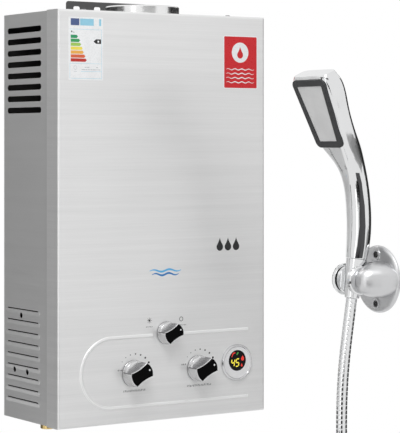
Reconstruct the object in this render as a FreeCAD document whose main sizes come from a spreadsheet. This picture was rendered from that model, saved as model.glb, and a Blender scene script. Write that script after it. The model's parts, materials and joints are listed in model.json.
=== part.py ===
"""Wall-hung instantaneous gas water heater with its hand shower, hose and side-wall holder.

Millimetres. +Z is up, the heater faces -Y and hangs on the wall plane Y = 0. The origin is the middle
of the row of hanger slots. The shower holder stands on a side wall, X = shower_wall_x, facing -X.
"""
import FreeCAD, Part
import math
import os

import Sketcher

V = FreeCAD.Vector
doc = FreeCAD.newDocument("water_heater")

# ----------------------------------------------------------------------------------------------------
# Driving dimensions: one spreadsheet row each.
# ----------------------------------------------------------------------------------------------------
SIZES = {
    # casing
    "casing_width": 355, "casing_height": 590, "casing_depth": 163.5, "sheet": 0.8,
    "cover_return": 33, "cover_lap": 24, "cover_gap": 0.2, "cover_bend": 3.5,
    "vent_slot_length": 102, "vent_slot_height": 8.4, "vent_slot_pitch": 16.6,
    "vent_slot_count": 8, "vent_slot_setback": 51, "top_slot_drop": 25,
    "louvre_length": 100, "louvre_height": 5.5, "louvre_lift": 1.2, "louvre_pitch": 16.3,
    "louvre_count": 9, "louvre_setback": 56, "louvre_rise": 29.6, "louvre_slit": 1.6,
    "side_hole_radius": 4.1,
    # hanger plate
    "hanger_width": 143, "hanger_sheet": 1.5, "hanger_rise": 25, "hanger_lap": 22,
    "hanger_hole_rise": 14.5, "hanger_slot_length": 12, "hanger_slot_width": 6,
    "hanger_outer_spacing": 107, "hanger_inner_spacing": 35,
    # control panel, measured from the middle and the bottom of the cover
    "bead_width": 4.5, "bead_height": 1.2, "bead_radius": 50, "bead_left": 90.5,
    "bead_right": 146.5, "bead_rise": 73.5, "bead_break": 24,
    "selector_x": 2.5, "selector_rise": 126, "gas_knob_x": -54, "water_knob_x": 57.5,
    "knob_rise": 71, "display_x": 126, "display_rise": 75,
    # knobs
    "knob_radius": 19.2, "knob_base_height": 9, "knob_grip_height": 15, "knob_grip_width": 22.5,
    "knob_waist": 19.5, "knob_side_inset": 0.6, "knob_cap_height": 1, "knob_cap_inset": 0.7,
    "knob_gap": 0.5, "selector_share": 0.87,
    "knob_angle": 28, "spindle_radius": 3, "spindle_in_knob": 12, "spindle_in_valve": 10,
    "running_fit": 0.05, "panel_hole_radius": 6,
    # display
    "bezel_radius": 27, "bezel_height": 3.4, "lens_radius": 15.4, "lens_height": 1.6,
    "display_can_radius": 23, "display_can_depth": 20, "display_wall": 1.5,
    # flue
    "flue_bore_radius": 50, "flue_outer_radius": 55, "flue_rise": 12.5, "flue_setback": 64,
    "flue_wall": 1, "flue_neck_radius": 46, "flue_lap": 4, "flue_foot_width": 6,
    "fin_hood_gap": 8, "hood_top_rise": 566, "hood_top_width": 124, "hood_top_depth": 118,
    # heat exchanger
    "shell_width": 244, "shell_depth": 104, "shell_setback": 37, "shell_base_rise": 252,
    "shell_wall": 1, "fin_count": 29, "fin_pitch": 8, "fin_thickness": 0.5, "fin_height": 66,
    "fin_base_rise": 396, "fin_edge_gap": 0.5, "tube_radius": 7.5, "tube_wall": 0.8,
    "tube_gap": 0.3, "fin_tube_pitch": 20, "tube_fit": 0.15, "tube_bend": 12, "wrap_rise": 40,
    "wrap_pitch": 10, "tube_side_gap": 4.2, "tube_drop_gap": 5.2, "tube_jog_rise": 34,
    "outlet_jog_rise": 49,
    # burner
    "burner_count": 12, "burner_pitch": 17, "burner_width": 10, "burner_depth": 84,
    "burner_base_rise": 156, "burner_height": 94, "burner_port_radius": 4.4,
    "burner_skin": 0.8, "port_rise": 12,
    "tray_width": 226, "tray_depth": 98, "tray_base_rise": 150, "tray_wall": 1,
    "manifold_size": 16, "manifold_gap": 6, "injector_radius": 3, "injector_reach": 11,
    # gas and water sections
    "valve_setback": 70, "valve_depth": 46, "valve_height": 46, "gas_valve_left": 100,
    "gas_valve_right": 10, "solenoid_radius": 14, "solenoid_length": 28, "season_valve_width": 40,
    "season_valve_depth": 30, "season_valve_drop": 19, "gas_tube_radius": 6,
    "gas_inlet_x": -85, "cold_inlet_x": 72, "hot_outlet_x": -150, "hot_outlet_setback": 80,
    "stub_radius": 10.4, "stub_bore_radius": 7, "stub_reach": 10, "stub_thread": 7, "stub_neck_radius": 9.8,
    "stub_nut_radius": 14, "stub_nut_height": 6, "stub_top_rise": 51,
    "diaphragm_radius": 31, "diaphragm_thickness": 1.5,
    "diaphragm_cover_left": 18, "diaphragm_cover_right": 30, "water_body_disc": 14,
    "water_valve_right": 92, "boss_radius": 10, "boss_height": 8.5, "rod_radius": 2,
    "rod_plate_radius": 18, "rod_plate_thickness": 2, "rod_travel": 4, "diaphragm_bowl_depth": 8,
    "standoff_radius": 4,
    # electrics
    "battery_x": 124, "battery_setback": 72, "cell_radius": 16.4, "cell_length": 60,
    "battery_wall": 1.6, "cell_gap": 0.4, "lid_thickness": 2, "lid_gap": 0.5, "lid_barrel_radius": 2.4,
    "lid_pin_radius": 1, "lid_barrel_length": 40, "controller_width": 84, "controller_depth": 26,
    "controller_height": 40, "controller_rise": 106, "electrode_x": 40, "electrode_rise": 264,
    "ceramic_radius": 3, "wire_radius": 1.3,
    # shower holder: p is the distance out from the side wall
    "shower_wall_x": 230, "holder_y": -365, "holder_z": -397, "plate_radius": 48,
    "plate_forward": 7, "plate_thickness": 5, "holder_screw_spacing": 70, "holder_hole_radius": 2.5,
    "holder_wall": 3.5, "arm_forward": 17, "arm_setback": 17, "ear_ring_radius": 7.5,
    "ear_ring_height": 1.4,
    "holder_gap": 0.3, "cradle_radius": 20, "cradle_length": 32, "cradle_neck": 2, "cradle_neck_radius": 14,
    "cradle_mouth": 17, "cap_radius": 23, "cap_reach": 10, "cap_spigot_radius": 8, "cap_spigot_length": 3.5,
    "pivot_radius": 3, "pivot_head_radius": 5, "pivot_head_height": 3, "pivot_length": 7.4,
    "cone_reach": 40, "cone_tilt": 9, "cone_bottom_radius": 10.5, "cone_top_radius": 15,
    "cone_below": 26, "cone_above": 30, "cone_gap": 0.3, "lift": 60,
    # handset
    "face_length": 103, "face_top_width": 75, "face_bottom_width": 58, "face_frame_band": 9.6,
    "face_frame_depth": 4, "face_corner": 9, "spray_plate_drop": 1, "inlay_forward": 6.5,
    "spigot_radius": 9, "spigot_length": 10,
    # hose
    "hose_radius": 8, "hose_length": 1500, "coil_radius": 95, "coil_turns": 2,
    "coil_drop": 329, "coil_reach": 157, "end_nut_radius": 12, "end_nut_length": 24,
    "tie_width": 12, "tie_thickness": 1.5,
    # fasteners
    "screw_radius": 2, "screw_head_radius": 4, "screw_head_height": 2.4, "screw_length": 8,
    "screw_gap": 0.15,
}

sheet = doc.addObject("Spreadsheet::Sheet", "Sizes")
for row, (alias, number) in enumerate(SIZES.items(), start=1):
    sheet.set(f"A{row}", alias)
    sheet.set(f"B{row}", str(number))
    sheet.setAlias(f"B{row}", alias)
doc.recompute()


class Size:
    """A length with its value and the spreadsheet expression that gives it."""

    def __init__(self, number, text=None):
        self.number = float(number)
        self.text = text if text is not None else f"({self.number:g})"

    def __float__(self):
        return self.number

    def __neg__(self):
        return Size(-self.number, f"(0 - {self.text})")

    def __add__(self, other):
        other = as_size(other)
        return Size(self.number + other.number, f"({self.text} + {other.text})")

    def __sub__(self, other):
        other = as_size(other)
        return Size(self.number - other.number, f"({self.text} - {other.text})")

    def __mul__(self, other):
        other = as_size(other)
        return Size(self.number * other.number, f"({self.text} * {other.text})")

    def __truediv__(self, other):
        other = as_size(other)
        return Size(self.number / other.number, f"({self.text} / {other.text})")

    def __radd__(self, other):
        return as_size(other) + self

    def __rsub__(self, other):
        return as_size(other) - self

    def __rmul__(self, other):
        return as_size(other) * self


def as_size(value):
    return value if isinstance(value, Size) else Size(value)


class Sheet:
    """Reads a driving dimension from the spreadsheet by its alias."""

    def __getattr__(self, alias):
        return Size(sheet.get(alias), f"Sizes.{alias}")


d = Sheet()

# ----------------------------------------------------------------------------------------------------
# Places that several pieces share.
# ----------------------------------------------------------------------------------------------------
half_width = d.casing_width / 2
casing_top = -d.hanger_hole_rise
casing_bottom = casing_top - d.casing_height
casing_back = -d.hanger_sheet
casing_front = casing_back - d.casing_depth
cover_step = d.sheet + d.cover_gap          # the rear casing sits this far inside the cover
rear_half = half_width - cover_step
rear_bottom = casing_bottom + cover_step
rear_top = casing_top - cover_step
rear_front = casing_front + d.cover_return - d.cover_lap
floor_top = rear_bottom + d.sheet
back_face = casing_back - d.sheet
shell_front = casing_front + d.shell_setback
shell_back = shell_front + d.shell_depth
stub_top = casing_bottom + d.stub_top_rise
shell_middle = shell_front + d.shell_depth / 2
shell_base = casing_bottom + d.shell_base_rise
hood_top = casing_bottom + d.hood_top_rise
fin_base = casing_bottom + d.fin_base_rise
hood_base = fin_base + d.fin_height + d.fin_hood_gap
fin_tube_z = fin_base + d.fin_height / 2
tray_base = casing_bottom + d.tray_base_rise
tray_front = shell_middle - d.tray_depth / 2
burner_base = casing_bottom + d.burner_base_rise
burner_front = shell_middle - d.burner_depth / 2
port_z = burner_base + d.port_rise
manifold_back = tray_front - d.manifold_gap
valve_y = casing_front + d.valve_setback
valve_front = valve_y - d.valve_depth / 2
valve_back = valve_y + d.valve_depth / 2
valve_z = casing_bottom + d.knob_rise
valve_top = valve_z + d.valve_height / 2
valve_bottom = valve_z - d.valve_height / 2
season_z = casing_bottom + d.selector_rise
season_back = manifold_back
season_front = season_back - d.season_valve_depth
season_top = port_z - d.manifold_size / 2
season_bottom = season_z - d.season_valve_drop
flue_y = casing_front + d.flue_setback
hot_y = casing_front + d.hot_outlet_setback
display_z = casing_bottom + d.display_rise
tube_offset = d.tube_radius + d.tube_gap
wrap_x = d.shell_width / 2 + tube_offset
wrap_front = shell_front - tube_offset
wrap_back = shell_back + tube_offset
wrap_base = shell_base + d.wrap_rise
tube_side = wrap_x + d.tube_radius + d.tube_side_gap + d.tube_gap
tube_drop = wrap_x + d.tube_radius * 2 + d.tube_drop_gap
holder_tilt = math.radians(float(d.cone_tilt))

ALONG_Z = FreeCAD.Rotation()
ALONG_X = FreeCAD.Rotation(V(0, 1, 0), 90)
ALONG_Y = FreeCAD.Rotation(V(1, 0, 0), -90)
TO_FRONT = FreeCAD.Rotation(V(1, 0, 0), 90)
OUT_OF_WALL = FreeCAD.Rotation(V(0, 1, 0), -90)
DOWN = FreeCAD.Rotation(V(1, 0, 0), 180)


# ----------------------------------------------------------------------------------------------------
# Helpers: each makes one document object whose sizes are bound to the spreadsheet.
# ----------------------------------------------------------------------------------------------------
def bind(thing, **sizes):
    for name, size in sizes.items():
        size = as_size(size)
        setattr(thing, name, size.number)
        if "Sizes." in size.text:
            thing.setExpression(name, size.text)
    return thing


def place(thing, x=0, y=0, z=0, turn=ALONG_Z):
    thing.Placement = FreeCAD.Placement(V(float(x), float(y), float(z)), turn)
    for axis, size in zip("xyz", (x, y, z)):
        if isinstance(size, Size) and "Sizes." in size.text:
            thing.setExpression(f"Placement.Base.{axis}", size.text)
    return thing


def add(kind, name="piece"):
    return doc.addObject(kind, name)


def box(low, high):
    """A box between two corners."""
    spans = [as_size(b) - a for a, b in zip(low, high)]
    thing = bind(add("Part::Box", "box"), Length=spans[0], Width=spans[1], Height=spans[2])
    return place(thing, *low)


def rod(radius, length, x, y, z, turn=ALONG_Z):
    return place(bind(add("Part::Cylinder", "rod"), Radius=radius, Height=length), x, y, z, turn)


def cone(radius1, radius2, length, x, y, z, turn=ALONG_Z):
    thing = bind(add("Part::Cone", "cone"), Radius1=radius1, Radius2=radius2, Height=length)
    return place(thing, x, y, z, turn)


def fuse(*things):
    if len(things) == 1:
        return things[0]
    thing = add("Part::MultiFuse", "joined")
    thing.Shapes = list(things)
    return thing


def cut(base, *tools):
    thing = add("Part::Cut", "cut")
    thing.Base = base
    thing.Tool = fuse(*tools)
    return thing


def common(first, second):
    thing = add("Part::Common", "shared")
    thing.Base = first
    thing.Tool = second
    return thing


def group(*things):
    """Several separate solids that share one node."""
    thing = add("Part::Compound", "group")
    thing.Links = list(things)
    return thing


def drawn(shape):
    """A piece whose shape is worked out with Part's own functions."""
    thing = add("Part::Feature", "drawn")
    thing.Shape = shape
    return thing


def round_edges(base, radius, wanted):
    """Fillets the edges of base whose middle point passes the test wanted."""
    doc.recompute()
    picked = []
    for number, edge in enumerate(base.Shape.Edges, start=1):
        if wanted(edge):
            picked.append((number, float(radius), float(radius)))
    thing = add("Part::Fillet", "rounded")
    thing.Base = base
    thing.Edges = picked
    return thing


def origin_plane(body, role):
    return next(feature for feature in body.Origin.OriginFeatures if feature.Role == role)


def polygon_sketch(body, points, role="XZ_Plane"):
    """A closed outline whose corners are bound to the spreadsheet."""
    sketch = body.newObject("Sketcher::SketchObject", body.Name + "_outline")
    sketch.AttachmentSupport = [(origin_plane(body, role), "")]
    sketch.MapMode = "FlatFace"
    corners = [tuple(as_size(c) for c in point) for point in points]
    count = len(corners)
    for here in range(count):
        after = (here + 1) % count
        start, end = (V(float(a), float(b), 0) for a, b in (corners[here], corners[after]))
        sketch.addGeometry(Part.LineSegment(start, end), False)
    for here in range(count):
        sketch.addConstraint(Sketcher.Constraint("Coincident", here, 2, (here + 1) % count, 1))
    for here, (across, along) in enumerate(corners):
        for kind, axis, size in (("DistanceX", -2, across), ("DistanceY", -1, along)):
            if abs(size.number) < 1e-9:
                sketch.addConstraint(Sketcher.Constraint("PointOnObject", here, 1, axis))
                continue
            index = sketch.addConstraint(Sketcher.Constraint(kind, -1, 1, here, 1, size.number))
            if "Sizes." in size.text:
                sketch.setExpression(f"Constraints[{index}]", size.text)
    return sketch


def turned(name, profile, x=0, y=0, z=0, turn=ALONG_Z):
    """A body turned about its own Z axis from (radius, height) corners."""
    body = add("PartDesign::Body", name)
    sketch = polygon_sketch(body, profile)
    revolution = body.newObject("PartDesign::Revolution", name + "_turned")
    revolution.Profile = sketch
    revolution.ReferenceAxis = (sketch, ["V_Axis"])
    revolution.Angle = 360
    body.Tip = revolution
    return place(body, x, y, z, turn)


def padded(name, outline, length, x=0, y=0, z=0, turn=ALONG_Z):
    """A body padded up its own Z axis from a closed outline in its XY plane."""
    body = add("PartDesign::Body", name)
    sketch = polygon_sketch(body, outline, "XY_Plane")
    pad = body.newObject("PartDesign::Pad", name + "_pad")
    pad.Profile = sketch
    bind(pad, Length=length)
    body.Tip = pad
    return place(body, x, y, z, turn)


def slot_tool(length, width, depth, x, y, z, turn):
    """A slot cutter centred on (x, y, z), long along its own X, cutting along its own Z."""
    straight = length - width
    block = bind(add("Part::Box", "slot"), Length=straight, Width=width, Height=depth)
    ends = [bind(add("Part::Cylinder", "slot_end"), Radius=width / 2, Height=depth) for _ in range(2)]
    place(block, -(straight / 2), -(width / 2), 0)
    place(ends[0], -(straight / 2), 0, 0)
    place(ends[1], straight / 2, 0, 0)
    return place(fuse(block, *ends), x, y, z, turn)


def rounded_path(points, radius):
    """Straight runs joined by tangent arcs; a corner's arc shrinks only where its runs are short."""
    points = [V(*(float(c) for c in point)) for point in points]
    edges, start = [], points[0]
    for before, corner, after in zip(points, points[1:], points[2:]):
        into, out = (corner - before), (after - corner)
        turn = into.getAngle(out)
        reach = min(float(radius) * math.tan(turn / 2), into.Length * 0.499, out.Length * 0.499)
        into.normalize()
        out.normalize()
        first, last = corner - into * reach, corner + out * reach
        inward = (out - into).normalize()
        bend = reach / math.tan(turn / 2)
        middle = corner + inward * (bend / math.cos(turn / 2) - bend)
        if (first - start).Length > 1e-6:
            edges.append(Part.LineSegment(start, first).toShape())
        edges.append(Part.Arc(first, middle, last).toShape())
        start = last
    edges.append(Part.LineSegment(start, points[-1]).toShape())
    return Part.Wire(edges)


def swept_tube(path, radius):
    """A solid bar of round section along a path."""
    direction = path.Edges[0].tangentAt(path.Edges[0].FirstParameter)
    start = path.Edges[0].valueAt(path.Edges[0].FirstParameter)
    circle = Part.Wire(Part.makeCircle(float(radius), start, direction))
    return path.makePipeShell([circle], True, False)


NODES = {}


def node(name, thing):
    """Gives a sub-part the Label that names its file."""
    thing.Label = name
    NODES[name] = thing
    return thing


def screw(x, y, z, turn, length=None):
    """A pan-head screw seated at (x, y, z), its head out along the turn's axis."""
    length = length or d.screw_length
    profile = [
        (0, -length), (d.screw_radius, -length), (d.screw_radius, 0), (d.screw_head_radius, 0),
        (d.screw_head_radius, d.screw_head_height * 0.5),
        (d.screw_head_radius * 0.7, d.screw_head_height), (0, d.screw_head_height),
    ]
    return turned("screw", profile, x, y, z, turn)


# ----------------------------------------------------------------------------------------------------
# Casing
# ----------------------------------------------------------------------------------------------------
def cover_screw_places():
    """Two screws hold the cover's bottom return and two its top return."""
    y = casing_front + d.cover_return - d.cover_lap / 2
    for x in (half_width * -0.7, half_width * 0.7):
        yield x, y, casing_bottom, DOWN
        yield x, y, casing_top, ALONG_Z


def screw_hole(x, y, z, turn):
    """A clearance hole through both sheets at a screw in the top or the bottom."""
    reach = 2 * (cover_step + d.sheet)
    low = z - reach if turn == ALONG_Z else z - reach / 2
    return rod(d.screw_radius + d.screw_gap, reach * 1.5, x, y, low)


def vent_slots():
    first = casing_top - d.top_slot_drop
    y = casing_front + d.vent_slot_setback + d.vent_slot_length / 2
    turn = FreeCAD.Rotation(V(0, 1, 0), V(0, 0, 1), V(1, 0, 0), "XYZ")
    for index in range(int(float(d.vent_slot_count))):
        z = first - index * d.vent_slot_pitch
        yield slot_tool(d.vent_slot_length, d.vent_slot_height, d.casing_width, -half_width, y, z, turn)


def louvres(side):
    """Pressed louvres on one side sheet, open above their upper lips."""
    hoods, slits = [], []
    back_y = casing_front + d.louvre_setback
    for index in range(int(float(d.louvre_count))):
        lip = casing_bottom + d.louvre_rise + index * d.louvre_pitch
        low = lip - d.louvre_height
        outline = [(0, 0), (d.louvre_lift, d.louvre_height - 0.8), (d.louvre_lift, d.louvre_height),
                   (0, d.louvre_height)]
        hood = padded("louvre", outline, d.louvre_length)
        x = side * rear_half
        if side > 0:
            turn = FreeCAD.Rotation(V(1, 0, 0), V(0, 0, 1), V(0, -1, 0), "XYZ")
            place(hood, x, back_y + d.louvre_length, low, turn)
        else:
            turn = FreeCAD.Rotation(V(-1, 0, 0), V(0, 0, 1), V(0, 1, 0), "XYZ")
            place(hood, x, back_y, low, turn)
        hoods.append(hood)
        near, far = sorted((x - side * 2 * d.sheet, x + side * 0.1), key=float)
        slits.append(box((near, back_y + 4, lip), (far, back_y + d.louvre_length - 4, lip + d.louvre_slit)))
    return hoods, slits


def rear_casing():
    outer = box((-rear_half, rear_front, rear_bottom), (rear_half, casing_back, rear_top))
    inner = box((-rear_half + d.sheet, rear_front - 1, floor_top),
                (rear_half - d.sheet, back_face, rear_top - d.sheet))
    tray = cut(outer, inner)
    left_hoods, left_slits = louvres(-1)
    right_hoods, right_slits = louvres(1)
    holes = list(vent_slots()) + left_slits + right_slits
    for setback, rise in ((111, 152), (131, 72), (92.7, 71.5)):
        holes.append(rod(d.side_hole_radius, 10, -half_width - 2, casing_front + setback,
                         casing_bottom + rise, ALONG_X))
    for x, y, radius in stub_places():
        holes.append(rod(radius + 0.6, 10, x, y, rear_bottom - 5))
    holes.append(rod(d.flue_neck_radius + d.flue_wall + 0.4, 10, 0, flue_y, rear_top - 5))
    (low, high) = battery_opening()
    holes.append(box(low, high))
    for spot in cover_screw_places():
        holes.append(screw_hole(*spot))
    node("rear_casing", cut(fuse(tray, *left_hoods, *right_hoods), *holes))


def stadium_face(radius, left, right, z, y):
    """The area between two level lines closed by a half circle on the left, cut square on the right."""
    r, x0, x1, z0 = (float(v) for v in (radius, left, right, z))
    y = float(y)
    top, bottom = V(x0, y, z0 + r), V(x0, y, z0 - r)
    edges = [
        Part.LineSegment(V(x1, y, z0 + r), top).toShape(),
        Part.Arc(top, V(x0 - r, y, z0), bottom).toShape(),
        Part.LineSegment(bottom, V(x1, y, z0 - r)).toShape(),
        Part.LineSegment(V(x1, y, z0 - r), V(x1, y, z0 + r)).toShape(),
    ]
    return Part.Face(Part.Wire(edges))


def front_bead():
    """The raised line round the controls, open at the right and broken behind the selector."""
    z = casing_bottom + d.bead_rise
    lift = V(0, -float(d.bead_height) - 0.3, 0)
    start = casing_front + 0.3
    outer = stadium_face(d.bead_radius + d.bead_width / 2, -d.bead_left, d.bead_right, z, start)
    inner = stadium_face(d.bead_radius - d.bead_width / 2, -d.bead_left, d.bead_right + 1, z, start)
    ridge = outer.extrude(lift).cut(inner.extrude(lift))
    edges = [e for e in ridge.Edges
             if abs(e.CenterOfMass.y - float(start) - lift.y) < 1e-6
             and e.BoundBox.XLength > float(d.bead_width) * 2]
    ridge = ridge.makeChamfer(float(d.bead_height) * 0.7, edges)
    low = V(float(d.selector_x - d.bead_break), float(start) - 5, float(z))
    gap = Part.makeBox(2 * float(d.bead_break), 10, float(d.bead_radius) * 2, low)
    return drawn(ridge.cut(gap))


def front_cover():
    back = casing_front + d.cover_return
    outer = box((-half_width, casing_front, casing_bottom), (half_width, back, casing_top))
    inner = box((-half_width + d.sheet, casing_front + d.sheet, casing_bottom + d.sheet),
                (half_width - d.sheet, back + 1, casing_top - d.sheet))
    front_y = float(casing_front)
    outer = round_edges(outer, d.cover_bend, lambda e: abs(e.CenterOfMass.y - front_y) < 1e-6)
    front_y = float(casing_front + d.sheet)
    inner = round_edges(inner, d.cover_bend - d.sheet, lambda e: abs(e.CenterOfMass.y - front_y) < 1e-6)
    holes = [rod(d.panel_hole_radius, 10, x, casing_front - 5, z, ALONG_Y)
             for x, z in ((d.selector_x, season_z), (d.gas_knob_x, valve_z), (d.water_knob_x, valve_z))]
    holes.append(rod(d.display_can_radius + 0.5, 10, d.display_x, casing_front - 5, display_z, ALONG_Y))
    holes.append(rod(d.flue_neck_radius + d.flue_wall + 0.5, 10, 0, flue_y, casing_top - 5))
    for spot in cover_screw_places():
        holes.append(screw_hole(*spot))
    node("front_cover", cut(fuse(cut(outer, inner), front_bead()), *holes))
    node("cover_screws", group(*[screw(x, y, z, turn) for x, y, z, turn in cover_screw_places()]))


def hanger():
    corner = 4
    low, high = casing_top - d.hanger_lap, casing_top + d.hanger_rise
    plate = box((-(d.hanger_width / 2), casing_back, low), (d.hanger_width / 2, 0, high))
    thick = float(d.hanger_sheet)
    plate = round_edges(plate, Size(corner), lambda e: abs(e.BoundBox.YLength - thick) < 1e-6)
    turn = FreeCAD.Rotation(V(1, 0, 0), V(0, 0, -1), V(0, 1, 0), "XYZ")
    holes = []
    for spacing in (d.hanger_outer_spacing, d.hanger_inner_spacing):
        for side in (-0.5, 0.5):
            holes.append(slot_tool(d.hanger_slot_length, d.hanger_slot_width, 10, spacing * side,
                                   casing_back - 5, 0, turn))
    node("wall_hanger", cut(plate, *holes))


def flue():
    """A rolled socket standing on the casing, its neck reaching down into the hood."""
    inner, outer, wall, neck = d.flue_bore_radius, d.flue_outer_radius, d.flue_wall, d.flue_neck_radius
    top, seat = d.flue_rise, hood_top - casing_top
    roll, foot = 2, neck + wall + d.flue_foot_width
    profile = [
        (neck, seat - d.flue_lap), (neck + wall, seat - d.flue_lap), (neck + wall, seat), (foot, seat),
        (foot, seat + wall), (neck + wall, seat + wall), (neck + wall, 0), (inner + wall, 0),
        (inner + wall, top - roll - wall), (inner + wall + 1, top - wall), (outer - wall - 1, top - wall),
        (outer - wall, top - roll - wall), (outer - wall, 0), (outer, 0), (outer, top - roll),
        (outer - 1, top - 0.4), (outer - roll, top), (inner + roll, top), (inner + 1, top - 0.4),
        (inner, top - roll), (inner, wall), (neck, wall),
    ]
    node("flue_collar", turned("flue_collar", profile, 0, flue_y, casing_top))
    wedge = []
    for shrink, low_z, high_z in ((0, hood_base, hood_top), (d.sheet, hood_base - 1, hood_top - d.sheet)):
        shape = add("Part::Wedge", "hood")
        half_base_x = d.shell_width / 2 - shrink
        half_top_x = d.hood_top_width / 2 - shrink
        base_front, base_back = shell_front + shrink, shell_back - shrink
        top_front, top_back = flue_y - d.hood_top_depth / 2 + shrink, flue_y + d.hood_top_depth / 2 - shrink
        bind(shape, Xmin=-half_base_x, Xmax=half_base_x, X2min=-half_top_x, X2max=half_top_x,
             Ymin=low_z, Ymax=high_z, Zmin=base_front, Zmax=base_back, Z2min=top_front, Z2max=top_back)
        # the wedge narrows along its own Y, which stands up here; its own Z runs back
        turn = FreeCAD.Rotation(V(-1, 0, 0), V(0, 0, 1), V(0, 1, 0), "XYZ")
        wedge.append(place(shape, 0, 0, 0, turn))
    hole = rod(d.flue_neck_radius + d.flue_wall + 0.3, 20, 0, flue_y, hood_top - 10)
    node("flue_hood", cut(wedge[0], wedge[1], hole))


# ----------------------------------------------------------------------------------------------------
# Heat exchanger and burner
# ----------------------------------------------------------------------------------------------------
def fin_tube_rows():
    return [shell_middle + (row - 2) * d.fin_tube_pitch for row in range(5)]


def exchanger_path():
    """The water tube: up from the water valve, round the chamber, through the fins, down to the outlet."""
    x, front, back = wrap_x, wrap_front, wrap_back
    climb = lambda turns: wrap_base + d.wrap_pitch * turns
    rows = list(reversed(fin_tube_rows()))
    jog, outlet_jog = valve_top + d.tube_jog_rise, stub_top + d.outlet_jog_rise
    points = [(d.cold_inlet_x, valve_y, valve_top), (d.cold_inlet_x, valve_y, jog), (x, valve_y, jog),
              (x, valve_y, climb(-0.4)), (x, front, climb(0)), (-x, front, climb(0.6)),
              (-x, back, climb(1.6)), (x, back, climb(2.6)), (x, front, climb(3.6)),
              (-x, front, climb(4.6)), (-x, back, climb(5.6)), (tube_side, back, climb(6.8)),
              (tube_side, rows[0], climb(8)), (tube_side, rows[0], fin_tube_z)]
    side = -1
    for here, after in zip(rows, rows[1:]):
        points += [(side * tube_side, here, fin_tube_z), (side * tube_side, after, fin_tube_z)]
        side = -side
    points += [(-tube_drop, rows[-1], fin_tube_z), (-tube_drop, rows[-1], outlet_jog + d.wrap_pitch * 3),
               (d.hot_outlet_x, hot_y, outlet_jog), (d.hot_outlet_x, hot_y, stub_top)]
    return rounded_path(points, d.tube_bend)


def exchanger():
    half, wall = d.shell_width / 2, d.shell_wall
    corner = d.tube_bend - tube_offset          # the tube bends round the chamber's corners
    upright = lambda edge: edge.BoundBox.ZLength > 20
    outer = box((-half, shell_front, shell_base), (half, shell_back, hood_base))
    inner = box((-half + wall, shell_front + wall, shell_base - 1),
                (half - wall, shell_back - wall, hood_base + 1))
    shell = cut(round_edges(outer, corner, upright), round_edges(inner, corner - wall, upright))
    holes = [rod(d.tube_radius + d.tube_fit, d.shell_width + 20, -half - 10, y, fin_tube_z, ALONG_X)
             for y in fin_tube_rows()]
    z = casing_bottom + d.electrode_rise
    holes += [rod(d.ceramic_radius + 0.1, 20, x, shell_front - 10, z, ALONG_Y)
              for x in (-d.electrode_x, d.electrode_x)]
    node("exchanger_shell", cut(shell, *holes))
    fins = []
    edge = wall + d.fin_edge_gap
    count = int(float(d.fin_count))
    for index in range(count):
        x = (index - (count - 1) / 2) * d.fin_pitch - d.fin_thickness / 2
        blank = box((x, shell_front + edge, fin_base), (x + d.fin_thickness, shell_back - edge,
                                                        fin_base + d.fin_height))
        bores = [rod(d.tube_radius + d.tube_fit, 4, x - 1, y, fin_tube_z, ALONG_X)
                 for y in fin_tube_rows()]
        fins.append(cut(blank, *bores))
    node("exchanger_fins", group(*fins))
    path = exchanger_path()
    bore = swept_tube(path, d.tube_radius - d.tube_wall)
    node("exchanger_tube", drawn(swept_tube(path, d.tube_radius).cut(bore)))


def channel(x, half, front, back, z, height, sheet):
    """A folded bracket from a front face to a back face."""
    web = box((x - half, front, z), (x + half, back, z + sheet))
    ends = [box((x - half, y, z), (x + half, y + sheet, z + height)) for y in (front, back - sheet)]
    return fuse(web, *ends)


def brackets():
    node("exchanger_brackets", group(*[
        channel(x, 18, shell_back, back_face, hood_base - 24, 18, Size(1.2)) for x in (-70, 70)]))


def burner():
    half, wall = d.tray_width / 2, d.tray_wall
    front, back = tray_front, tray_front + d.tray_depth
    walls = cut(box((-half, front, tray_base), (half, back, shell_base)),
                box((-half + wall, front + wall, tray_base - 1),
                    (half - wall, back - wall, shell_base + 1)))
    flange = cut(box((-(d.shell_width / 2), shell_front, shell_base - wall),
                     (d.shell_width / 2, shell_back, shell_base)),
                 box((-half + wall, front + wall, shell_base - 5),
                     (half - wall, back - wall, shell_base + 1)))
    rails = [box((-half + wall / 2, y, tray_base), (half - wall / 2, y + 10, burner_base))
             for y in (burner_front + 8, burner_front + d.burner_depth - 18)]
    places = burner_places()
    holes = [rod(d.injector_radius + 1.5, 10, x, front - 5, port_z, ALONG_Y) for x in places]
    node("burner_tray", cut(fuse(walls, flange, *rails), *holes))
    bars = []
    for x in places:
        low = (x - d.burner_width / 2, burner_front, burner_base)
        high = (x + d.burner_width / 2, burner_front + d.burner_depth, burner_base + d.burner_height)
        skin = d.burner_skin
        hollow = box((x - d.burner_width / 2 + skin, burner_front + skin, burner_base + skin),
                     (x + d.burner_width / 2 - skin, burner_front + d.burner_depth - skin,
                      burner_base + d.burner_height - skin))
        ports = [box((x - 1, burner_front + 6 + step * 8, burner_base + d.burner_height - 3),
                     (x + 1, burner_front + 12 + step * 8, burner_base + d.burner_height + 1))
                 for step in range(9)]
        throat = rod(d.burner_port_radius, 4, x, burner_front - 1, port_z, ALONG_Y)
        bars.append(cut(box(low, high), hollow, *ports, throat))
    node("burner_bars", group(*bars))
    size = d.manifold_size
    length = places[-1] - places[0] + 22
    manifold = box((-(length / 2), manifold_back - size, port_z - size / 2),
                   (length / 2, manifold_back, port_z + size / 2))
    node("gas_manifold", manifold)
    jets = []
    for x in places:
        profile = [(0.5, 0), (d.injector_radius, 0), (d.injector_radius, d.injector_reach - 3),
                   (1.6, d.injector_reach), (0.5, d.injector_reach)]
        jets.append(turned("injector", profile, x, manifold_back, port_z, ALONG_Y))
    node("gas_injectors", group(*jets))


def burner_places():
    count = int(float(d.burner_count))
    return [(index - (count - 1) / 2) * d.burner_pitch for index in range(count)]


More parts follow.
